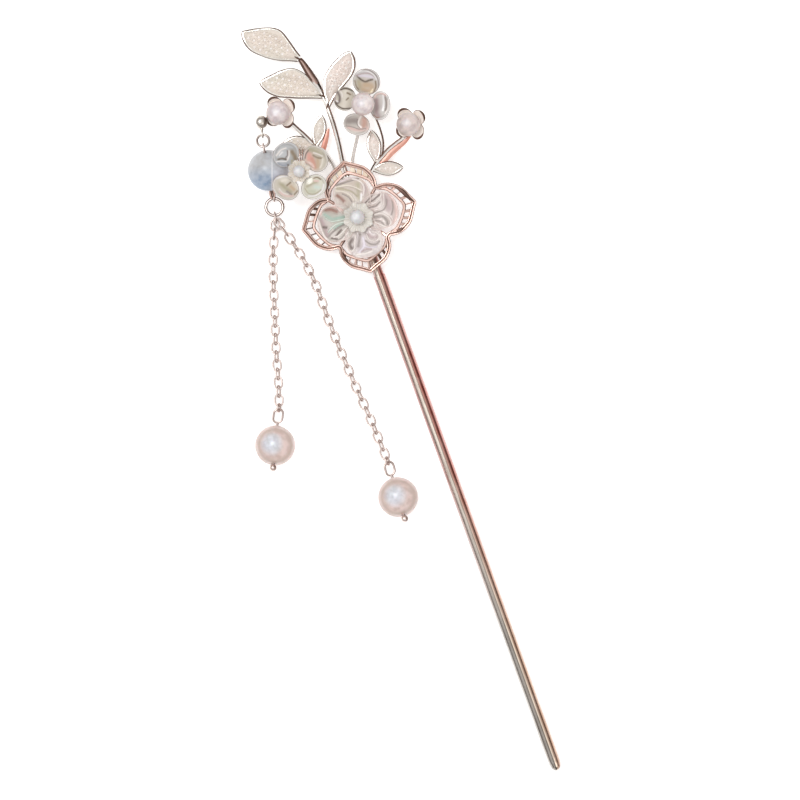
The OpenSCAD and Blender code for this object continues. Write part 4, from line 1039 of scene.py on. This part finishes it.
def pearl_cup(name, middle):
    """A four-lobed calyx, pale inside, with a rolled edge and a dark line of painted shade along it that
    swells on each lobe.
    """
    bm, dark = bmesh.new(), bmesh.new()
    tilt = Matrix.Rotation(math.radians(-CUP_LEAN), 3, "Y")

    def spot(u, v):
        reach = cup_reach(360 * (v % 1.0)) * u
        out = reach / CUP_R
        return middle + tilt @ polar(reach, 360 * v, 1.3 * out ** 1.6 + 0.3 * u ** 3 * out ** 2 + 0.34)

    def ring(u):
        return [spot(u, k / CUP_STEPS) for k in range(CUP_STEPS)]
    thicken(bm, sheet(bm, 8, CUP_STEPS, spot), 0.3)
    wires(bm, [ring(0.93)], 0.34, sides=2, closed=True)
    swell = [0.35 + 0.95 * max(0.0, math.sin(math.radians(4 * 360 * k / CUP_STEPS + 40))) ** 0.6
             for k in range(CUP_STEPS)]
    wires(dark, [([p + UP * 0.08 for p in ring(1)], swell)], 0.36, sides=2, closed=True)
    piece(name, bm, CALYX, crease=50)
    piece(name + "_shade_edge", dark, PAINTED_SHADE)


def make_branches():
    bm, dark = bmesh.new(), bmesh.new()
    path = flow(LEFT_SPOTS, 6)
    # the point of the path where the two small leaves grow
    fork = 24
    strips(bm, [(path[:fork + 1], [STEM * 0.8] * (fork + 1))], PALE_STALK)
    strips(bm, [(path[fork - 1:], [STEM] * (len(path) - fork + 1))], STALK)
    # dark lines of painted shade along both sides of the stem
    wires(dark, [flat_side(path, 0.26, 0.14)[fork - 1:], flat_side(path, -0.34, 0)[fork:]], 0.22, sides=1)
    trays = bmesh.new()
    leaf_tray(trays, dark, left_small)
    leaf_tray(trays, dark, back_leaf, [(2, 0.3, 0.8, 0.2)])
    piece("left_branch_trays", trays, TRAY, crease=22)
    piece("left_branch_wires", bm, SILVER, ["left_branch"], crease=25)
    piece("left_branch_shade_lines", dark, PAINTED_SHADE)
    bm, dark = bmesh.new(), bmesh.new()
    path = flow(RIGHT_SPOTS, 6)
    strips(bm, [(path, [STEM * 0.9] * len(path))], [(-x, z) for x, z in STALK[::-1]])
    wires(bm, [flow(VINE_SPOTS, 6)], 0.3, sides=3)
    # a dark line of painted shade along the stem's left side, and a dark line over the vine
    wires(dark, [flat_side(path, -0.3, 0.12)[10:]], 0.22, sides=1)
    wires(dark, [flow([p + Vector((0.1, 0, 0.08)) for p in VINE_SPOTS], 6)], 0.34, sides=2)
    trays = bmesh.new()
    leaf_tray(trays, dark, right_small_a)
    leaf_tray(trays, dark, right_small_b, [(1, 0.3, 1.0, 0.24)])
    piece("right_branch_trays", trays, TRAY, crease=22)
    piece("right_branch_wires", bm, SILVER, ["right_branch"], crease=25)
    piece("right_branch_shade_lines", dark, PAINTED_SHADE)
    pearl_cup("left_pearl_calyx", LEFT_SPOTS[8])
    pearl_cup("right_pearl_calyx", RIGHT_SPOTS[7])


SIDE_SECTION = [(-0.5, -0.12), (-0.5, 0.06), (-0.3, 0.14), (0.3, 0.14), (0.5, 0.06), (0.5, -0.12)]


def make_coral_sides():
    """The flat warm side of the stems by the right pearl and the left small leaf."""
    right = flow(RIGHT_SPOTS, 6)[13:40]
    left = flow([LEFT_SPOTS[4] + Vector((-0.06, -1.3, 0)), LEFT_SPOTS[4] + Vector((1.45, 0.8, 0.1)),
                 LEFT_SPOTS[4] + Vector((2.9, 3.0, 0.2))], 8)
    for name, path, reach in (("right_branch_side", right, 1.25), ("left_branch_side", left, 1.1)):
        bm = bmesh.new()
        side = flat_side(path, 0.24 + reach / 2, -0.12)
        swell = [0.3 + 0.7 * math.sin(math.pi * (0.2 + 0.75 * k / (len(side) - 1))) for k in range(len(side))]
        strips(bm, [(side, [reach * s for s in swell])], SIDE_SECTION)
        piece(name, bm, CORAL, crease=22)


make_branches()
make_coral_sides()


# Clear flowers

# heading, reach, length and width as shares, and tone of each petal
UPPER_PETALS = [(61, 1.0, 0.72, 0.76, (0.85, 0.84, 0.84)), (143, 0.82, 0.6, 0.66, (0.85, 0.82, 0.76)),
                (233, 0.88, 0.6, 0.74, (0.89, 0.87, 0.84)), (-24, 0.76, 0.56, 0.8, (0.87, 0.86, 0.84))]
LOWER_PETALS = [(17, 0.98, 0.7, 0.84, (0.84, 0.81, 0.75)), (108, 1.0, 0.72, 0.82, (0.76, 0.77, 0.78)),
                (211, 0.98, 0.7, 0.86, (0.87, 0.84, 0.79)), (294, 1.0, 0.7, 0.82, (0.89, 0.88, 0.82))]
# folds as on the shell flower: tone, width, height and path; the white, milk and glint ones are painted
# highlights, the dark, bark and smoke ones painted dark reflections
UPPER_FOLDS = [
    ("olive", 1.2, -0.1, [(-0.9, 4.5), (-0.6, 3.5)]),
    ("tan", 1.5, -0.1, [(0.4, 3.9), (1.6, 3.7), (1.7, 3.0)]),
    ("tan", 0.7, 0.0, [(0.0, 3.0), (1.2, 2.7)]),
    ("glint", 0.35, 0.05, [(1.9, 2.9), (1.6, 2.5)]),
    ("bark", 0.26, 0.0, [(-1.6, 4.7), (-1.35, 3.7), (-0.9, 3.0)]),
    ("bark", 0.26, 0.0, [(2.5, 4.6), (2.6, 3.6), (2.3, 2.7), (2.0, 2.1)]),
    ("dark", 0.3, -0.05, [(-1.0, 5.5), (-0.3, 4.9), (0.5, 4.55), (1.2, 4.8), (1.9, 4.95)]),
    ("lilac", 0.4, 0.1, [(-0.8, 5.7), (0.8, 5.6), (2.0, 5.4)]),
    ("mauve", 0.2, 0.0, [(-1.4, 5.7), (0.0, 6.15), (1.4, 6.1), (2.4, 5.4)]),
    ("white", 0.24, 0.12, [(-1.5, 6.1), (-0.4, 6.6), (0.8, 6.6), (2.0, 6.0), (2.8, 4.9)]),
    ("grey", 0.2, 0.0, [(-0.4, 6.9), (1.2, 6.8), (2.5, 5.9), (3.1, 4.6), (3.1, 3.2)]),
    ("cream", 1.2, 0.0, [(-3.3, 2.6), (-3.5, 1.5), (-3.6, 0.4), (-3.9, -0.4)]),
    ("bark", 0.3, 0.0, [(-3.1, 2.3), (-2.5, 2.0)]),
    ("bark", 0.22, 0.0, [(-3.3, 0.9), (-2.9, 1.3)]),
    ("smoke", 0.42, -0.12, [(-5.1, 2.5), (-4.7, 1.8), (-4.6, 1.0), (-4.9, 0.35), (-5.5, 0.2)]),
    ("mauve", 0.24, 0.0, [(-5.4, 2.4), (-5.6, 1.1), (-5.6, 0.3)]),
    ("white", 0.3, 0.05, [(-5.2, 0.7), (-5.0, 0.55)]),
    ("milk", 0.24, 0.12, [(-4.7, 2.9), (-4.2, 2.2), (-4.1, 1.5)]),
    ("dark", 0.26, 0.05, [(-4.5, 2.9), (-3.6, 3.2), (-2.6, 3.0), (-1.8, 2.6)]),
    ("dark", 0.24, 0.05, [(-5.5, 0.5), (-5.0, -0.3), (-3.9, -0.85), (-2.5, -0.75)]),
    ("grey", 1.4, -0.1, [(-2.8, -3.3), (-2.2, -3.2), (-1.5, -3.2)]),
    ("rosy", 1.2, -0.1, [(0.3, -3.0), (0.3, -3.8), (0.1, -4.3)]),
    ("smoke", 0.2, 0.0, [(-1.1, -3.0), (-1.1, -4.0), (-0.6, -4.6)]),
    ("milk", 0.34, 0.15, [(-0.4, -2.4), (-0.8, -3.2), (-0.85, -3.9), (-0.3, -4.5)]),
    ("blush", 0.5, 0.05, [(-3.0, -4.5), (-1.8, -5.0), (-0.4, -5.1), (0.9, -4.7)]),
    ("grey", 0.18, 0.0, [(-3.4, -4.3), (-2.0, -4.5), (-0.8, -4.95), (0.6, -4.8)]),
    ("mauve", 0.9, -0.08, [(2.7, 0.9), (2.8, -0.4), (2.7, -1.6), (3.0, -2.2)]),
    ("grey", 0.4, 0.0, [(4.4, 1.4), (4.7, 0.2), (4.5, -1.2)]),
    ("white", 0.32, 0.12, [(4.0, 1.8), (4.1, 0.4), (3.8, -1.2)]),
    ("milk", 0.24, 0.1, [(5.0, 0.8), (4.95, -0.8), (4.3, -1.9)]),
    ("blush", 0.24, 0.1, [(2.3, 1.2), (2.8, 2.0), (3.8, 2.15), (4.6, 1.8)]),
    ("brown", 0.2, 0.0, [(2.1, -2.1), (2.7, -2.6), (3.2, -2.6)]),
]
LOWER_FOLDS = [
    ("bark", 0.8, -0.1, [(-1.4, 3.9), (-0.9, 3.1), (-0.7, 2.5)]),
    ("blue", 0.8, -0.1, [(-4.0, 1.5), (-3.0, 1.2), (-2.4, 1.4)]),
    ("olive", 0.35, 0.0, [(-1.4, 2.2), (-1.4, 1.6)]),
    ("dark", 0.28, 0.0, [(-2.2, 1.3), (-1.9, 1.0)]),
    ("dark", 0.34, -0.1, [(-4.1, 2.4), (-3.4, 2.55), (-2.6, 2.4)]),
    ("smoke", 0.22, 0.0, [(-2.3, 4.1), (-2.3, 3.2), (-2.7, 2.7)]),
    ("white", 0.22, 0.12, [(-4.5, 1.9), (-3.6, 2.0), (-2.5, 1.95)]),
    ("milk", 0.22, 0.12, [(-2.0, 4.1), (-2.0, 3.1), (-2.35, 2.2)]),
    ("white", 0.22, 0.12, [(-3.9, 3.2), (-3.3, 3.8)]),
    ("milk", 0.24, 0.12, [(-4.5, 3.1), (-3.6, 4.2), (-2.6, 4.6)]),
    ("white", 0.22, 0.1, [(-4.6, 1.4), (-4.2, 0.6), (-3.1, 0.3)]),
    ("pink", 1.1, -0.1, [(2.0, 3.4), (2.0, 2.6)]),
    ("coral", 0.9, -0.1, [(2.6, 2.4), (3.0, 1.6), (3.2, 0.9)]),
    ("tan", 0.7, 0.0, [(3.7, 2.2), (3.8, 1.5), (3.7, 1.0)]),
    ("olive", 0.8, 0.0, [(2.3, 4.3), (3.4, 3.9), (4.4, 3.2)]),
    ("milk", 0.26, 0.12, [(2.9, 3.7), (3.8, 3.4), (4.6, 3.0)]),
    ("bark", 0.26, 0.0, [(2.8, 3.2), (3.6, 2.75), (4.4, 2.6)]),
    ("smoke", 0.22, 0.0, [(1.9, 4.2), (1.35, 3.4), (1.2, 2.6)]),
    ("blush", 0.24, 0.1, [(1.3, 1.8), (2.2, 1.5), (2.8, 0.9)]),
    ("cream", 0.3, 0.1, [(4.7, 2.4), (4.5, 1.4), (4.2, 0.7)]),
    ("olive", 0.9, -0.08, [(-3.6, -2.4), (-2.8, -3.2), (-1.7, -4.0)]),
    ("tan", 0.7, -0.08, [(-1.6, -3.0), (-1.0, -3.6)]),
    ("grey", 0.36, 0.0, [(-2.4, -4.0), (-1.5, -4.6)]),
    ("cream", 0.6, 0.05, [(-3.4, -1.9), (-2.6, -1.7)]),
    ("bark", 0.3, 0.0, [(-1.7, -2.2), (-2.4, -2.8)]),
    ("bark", 0.26, 0.0, [(-0.3, -3.9), (-0.9, -4.6)]),
    ("white", 0.26, 0.12, [(-4.5, -1.5), (-3.4, -1.05), (-2.4, -1.0)]),
    ("milk", 0.24, 0.12, [(-3.9, -3.5), (-3.2, -4.3), (-2.2, -4.6)]),
    ("blush", 0.3, 0.05, [(-3.9, -4.1), (-2.7, -4.9), (-1.2, -4.9)]),
    ("olive", 0.6, -0.05, [(1.6, -3.0), (2.6, -2.4), (3.4, -2.1)]),
    ("green", 0.8, -0.05, [(2.0, -3.9), (3.0, -4.0)]),
    ("mint", 0.7, 0.05, [(3.3, -3.1), (3.9, -3.2)]),
    ("olive", 0.2, 0.0, [(1.2, -3.4), (1.9, -4.4), (3.2, -4.5), (4.4, -3.7)]),
    ("white", 0.3, 0.12, [(1.9, -4.9), (3.4, -4.8), (4.6, -3.8), (4.9, -2.6)]),
    ("bark", 0.24, 0.0, [(2.9, -1.4), (3.6, -1.2), (4.3, -1.6)]),
    ("blush", 0.36, 0.05, [(3.1, -1.9), (3.8, -1.9)]),
]
UPPER_C, UPPER_SIZE = CENTRE + Vector((8.5, 20.9, 3.52)), 7.2
LOWER_C, LOWER_SIZE = CENTRE + Vector((-8, 12.6, 5.28)), 6.6
PETAL_RISE, PETAL_WALL = 1.9, 0.42


def clear_petals(bm, middle, size, petals, folds):
    """Cupped glass petals with a fine rolled edge painted paler as a highlight, their folds and the tints
    that shine through them.
    """
    drawing = Drawing(folds)
    for turn, reach, length, width, base in petals:
        @lru_cache(None)
        def shape(u, v):
            """Place on the petal, how near its edge, its tone and how high its folds stand."""
            t = 0.5 - 0.5 * math.cos(math.pi * u)
            x, side = 2 * t - 1, petal_width(t, 2.1) * (2 * v - 1)
            off = (polar(size * (reach - length / 2 + length / 2 * x), turn)
                   + polar(size * width / 2 * side, turn + 90))
            out = math.hypot(x, side)
            roll = math.exp(-((out - 0.92) / 0.05) ** 2)
            line = math.exp(-((out - 0.78) / 0.035) ** 2) * (0.5 + 0.5 * math.sin(9 * v + turn))
            # the rolled edge is painted paler, a painted highlight, with a thin darker line inside it
            ground = blend(blend(base, (0.95, 0.94, 0.94), 0.5 * roll), (0.62, 0.59, 0.57), 0.6 * line)
            ground, fold = drawing.at(off, ground)
            return off, out, ground, 0.6 * fold + 0.1 * roll - 0.12 * max(0.0, 1 - out * out)

        def spot(u, v):
            off, _, _, height = shape(u, v)
            return middle + off + UP * (PETAL_WALL + PETAL_RISE * (off.length / size) ** 1.6 + height)

        def tone(u, v):
            _, out, ground, _ = shape(u, v)
            return blend(ground, (0.66, 0.63, 0.61), (out - 0.95) / 0.04)
        thicken(bm, sheet(bm, 44, 48, spot, tone), PETAL_WALL)
    made = bmesh.ops.create_uvsphere(bm, u_segments=24, v_segments=12, radius=size * 0.2,
                                     matrix=Matrix.Translation(middle + UP * 0.3)
                                     @ Matrix.Diagonal((1, 1, 0.2, 1)))
    paint(bm, made["verts"], (0.8, 0.76, 0.72))


def make_clear_flowers():
    bm = bmesh.new()
    clear_petals(bm, UPPER_C, UPPER_SIZE, UPPER_PETALS, UPPER_FOLDS)
    piece("upper_clear_petals", bm, CLEAR, ["upper_flower"], crease=50)
    bm = bmesh.new()
    clear_petals(bm, LOWER_C, LOWER_SIZE, LOWER_PETALS, LOWER_FOLDS)
    piece("lower_clear_petals", bm, CLEAR, ["lower_flower"], crease=50)


def make_flower_wires():
    bm = bmesh.new()
    root, end = CENTRE + polar(FRAME_REACH * 0.99, 77, ROOT_Z), UPPER_C - UP * 0.4
    knee = root + (end - root) * 0.5
    knee.z = ROOT_Z + 0.7
    path = flow([root - Vector((0.4, RIM_GAP + 0.4, 0)), root, knee, end], 8)
    wires(bm, [path, flat_side(path, 0.36, 0)], 0.3, sides=3)
    piece("upper_flower_wires", bm, SILVER, ["upper_flower_wire"])
    bm = bmesh.new()
    root, end = LEFT_SPOTS[2] - Vector((STEM / 2 + 0.4, 0, 0)), LOWER_C - UP * 0.4
    knee = Vector((root.x * 0.55 + end.x * 0.45, root.y * 0.55 + end.y * 0.45, root.z * 0.6 + end.z * 0.4))
    path = flow([root, knee, end], 8)
    wires(bm, [path, flat_side(path, 0.3, 0)], 0.28, sides=3)
    piece("lower_flower_wires", bm, SILVER, ["lower_flower_wire"])


def make_flower_ties():
    """Four fine wires from under the lower flower to the leaf behind it."""
    bm = bmesh.new()
    for foot, head in ((0.2, -0.85), (0.4, 0.0), (0.55, 0.7), (0.75, 1.35)):
        spots = [Vector((foot, 1.3, 0.5)), Vector(((foot + head) / 2, 2.9, 0.1)), Vector((head, 4.5, -2.95))]
        spots = [LOWER_C + Matrix.Rotation(-PHOTO_TURN, 3, "Z") @ p for p in spots]
        wires(bm, [flow(spots, 5)], 0.28, sides=2)
    piece("lower_flower_ties", bm, ROSE)


# half the distance between the neck's wires, their thickness and the radii of the ring's dark lines of
# painted shade
NECK_HALF, NECK_WIRE = 0.36, 0.46
RING_LINES = (1.49, 1.93)


def make_bead_neck():
    """The two turns of wire between the bead and the ring below it with painted shade between them, and the
    ring's dark edges of painted shade.
    """
    bead_low, bead_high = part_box("blue_bead")
    ring_low, ring_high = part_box("drop_ring")
    bead, ring = (bead_low + bead_high) / (2 * MM), (ring_low + ring_high) / (2 * MM)
    along = (ring - bead).normalized()
    start = bead + along * ((bead_high.x - bead_low.x) / (2 * MM) - 0.1)
    end = ring - along * ((ring_high.x - ring_low.x) / (2 * MM) - 0.1)
    bm, dark = bmesh.new(), bmesh.new()
    for side in (-1, 1):
        offset = along.cross(UP).normalized() * NECK_HALF * side
        strand = flow([start + offset, (start + end) / 2 + offset * 1.15, end + offset * 0.8], 4)
        wires(bm, [strand], NECK_WIRE, sides=3)
        wires(dark, [flow([start + offset * 0.45, end + offset * 0.35], 4)], 0.2, sides=2)
    piece("bead_pin_neck", bm, ROSE)
    piece("bead_pin_shade", dark, PAINTED_SHADE)
    dark = bmesh.new()
    for reach in RING_LINES:
        circle = [ring + polar(reach, 7.5 * k, 0.1) for k in range(48)]
        wires(dark, [circle], 0.15, sides=2, closed=True)
    piece("drop_ring_shade_lines", dark, PAINTED_SHADE)


make_clear_flowers()
make_flower_wires()
make_flower_ties()
make_bead_neck()


# Floor, light and camera

# the place under the camera, which is the middle of the picture
AIM = Vector((-4.5, -24.4, 0)) * MM
# the camera's height and the width of its view at the table, in metres
CAMERA_HEIGHT, VIEW_WIDTH = 1.5, 0.16


def make_floor():
    bm = bmesh.new()
    bmesh.ops.create_grid(bm, x_segments=1, y_segments=1, size=2.0)
    bmesh.ops.translate(bm, vec=(0, 0, -STICK_R * MM), verts=bm.verts)
    mesh = bpy.data.meshes.new("floor")
    bm.to_mesh(mesh)
    bm.free()
    material, tree, shader = finish("white_paper", Roughness=0.9, Specular_IOR_Level=0.1,
                                    Emission_Color=(1, 1, 1, 1), Emission_Strength=0.4)
    tree.links.new(mottled(tree, (0.97,) * 3, (0.96,) * 3, 20.0, 0.5), shader.inputs["Base Color"])
    mesh.materials.append(material)
    floor = add_object("floor", mesh)


def make_world():
    """A white room with a dark warm band low around it, for the metal to mirror."""
    world = bpy.data.worlds.new("studio")
    bpy.context.scene.world = world
    world.use_nodes = True
    tree = world.node_tree
    sky = tree.nodes["Background"]
    place_of = node(tree, "ShaderNodeTexCoord")
    parts = node(tree, "ShaderNodeSeparateXYZ", links={0: place_of.outputs["Generated"]})
    sky_tones = tones(tree, parts.outputs["Z"], [
        (0.0, (1.0, 0.96, 0.94)), (0.12, (0.95, 0.88, 0.84)), (0.2, (0.07, 0.05, 0.04)),
        (0.44, (0.09, 0.06, 0.05)), (0.56, (0.6, 0.56, 0.54)), (0.66, (1, 1, 1)), (0.8, (0.72, 0.70, 0.69)),
        (0.88, (1.0, 1.0, 1.0))])
    tree.links.new(sky_tones, sky.inputs["Color"])
    sky.inputs["Strength"].default_value = 1.0


def make_light(name, spot, size, power, colour=(1, 1, 1)):
    """A soft square light, aimed at the middle. spot is to the photo's right, up and high, in metres."""
    lamp = bpy.data.lights.new(name, "AREA")
    lamp.shape = "SQUARE"
    lamp.size = size
    lamp.energy = power
    lamp.color = colour
    ob = add_object(name, lamp)
    where = Matrix.Rotation(-PHOTO_TURN, 3, "Z") @ Vector(spot) + AIM
    ob.location = where
    ob.rotation_euler = (AIM - where).to_track_quat("-Z", "Y").to_euler()


def make_camera():
    """Straight down, turned as in the photo."""
    camera = bpy.data.cameras.new("camera")
    camera.sensor_width = 36
    camera.lens = camera.sensor_width * CAMERA_HEIGHT / VIEW_WIDTH
    camera.clip_end = 10
    ob = add_object("camera", camera)
    ob.location = (AIM.x, AIM.y, CAMERA_HEIGHT)
    ob.rotation_euler = (0, 0, -PHOTO_TURN)
    bpy.context.scene.camera = ob


make_floor()
make_world()
make_light("key", (-0.24, 0.2, 0.8), 0.26, 2.4)
make_light("fill", (0.5, -0.3, 0.6), 0.4, 0.8, (1, 0.95, 0.92))
make_camera()
bpy.context.scene.view_settings.view_transform = "Standard"
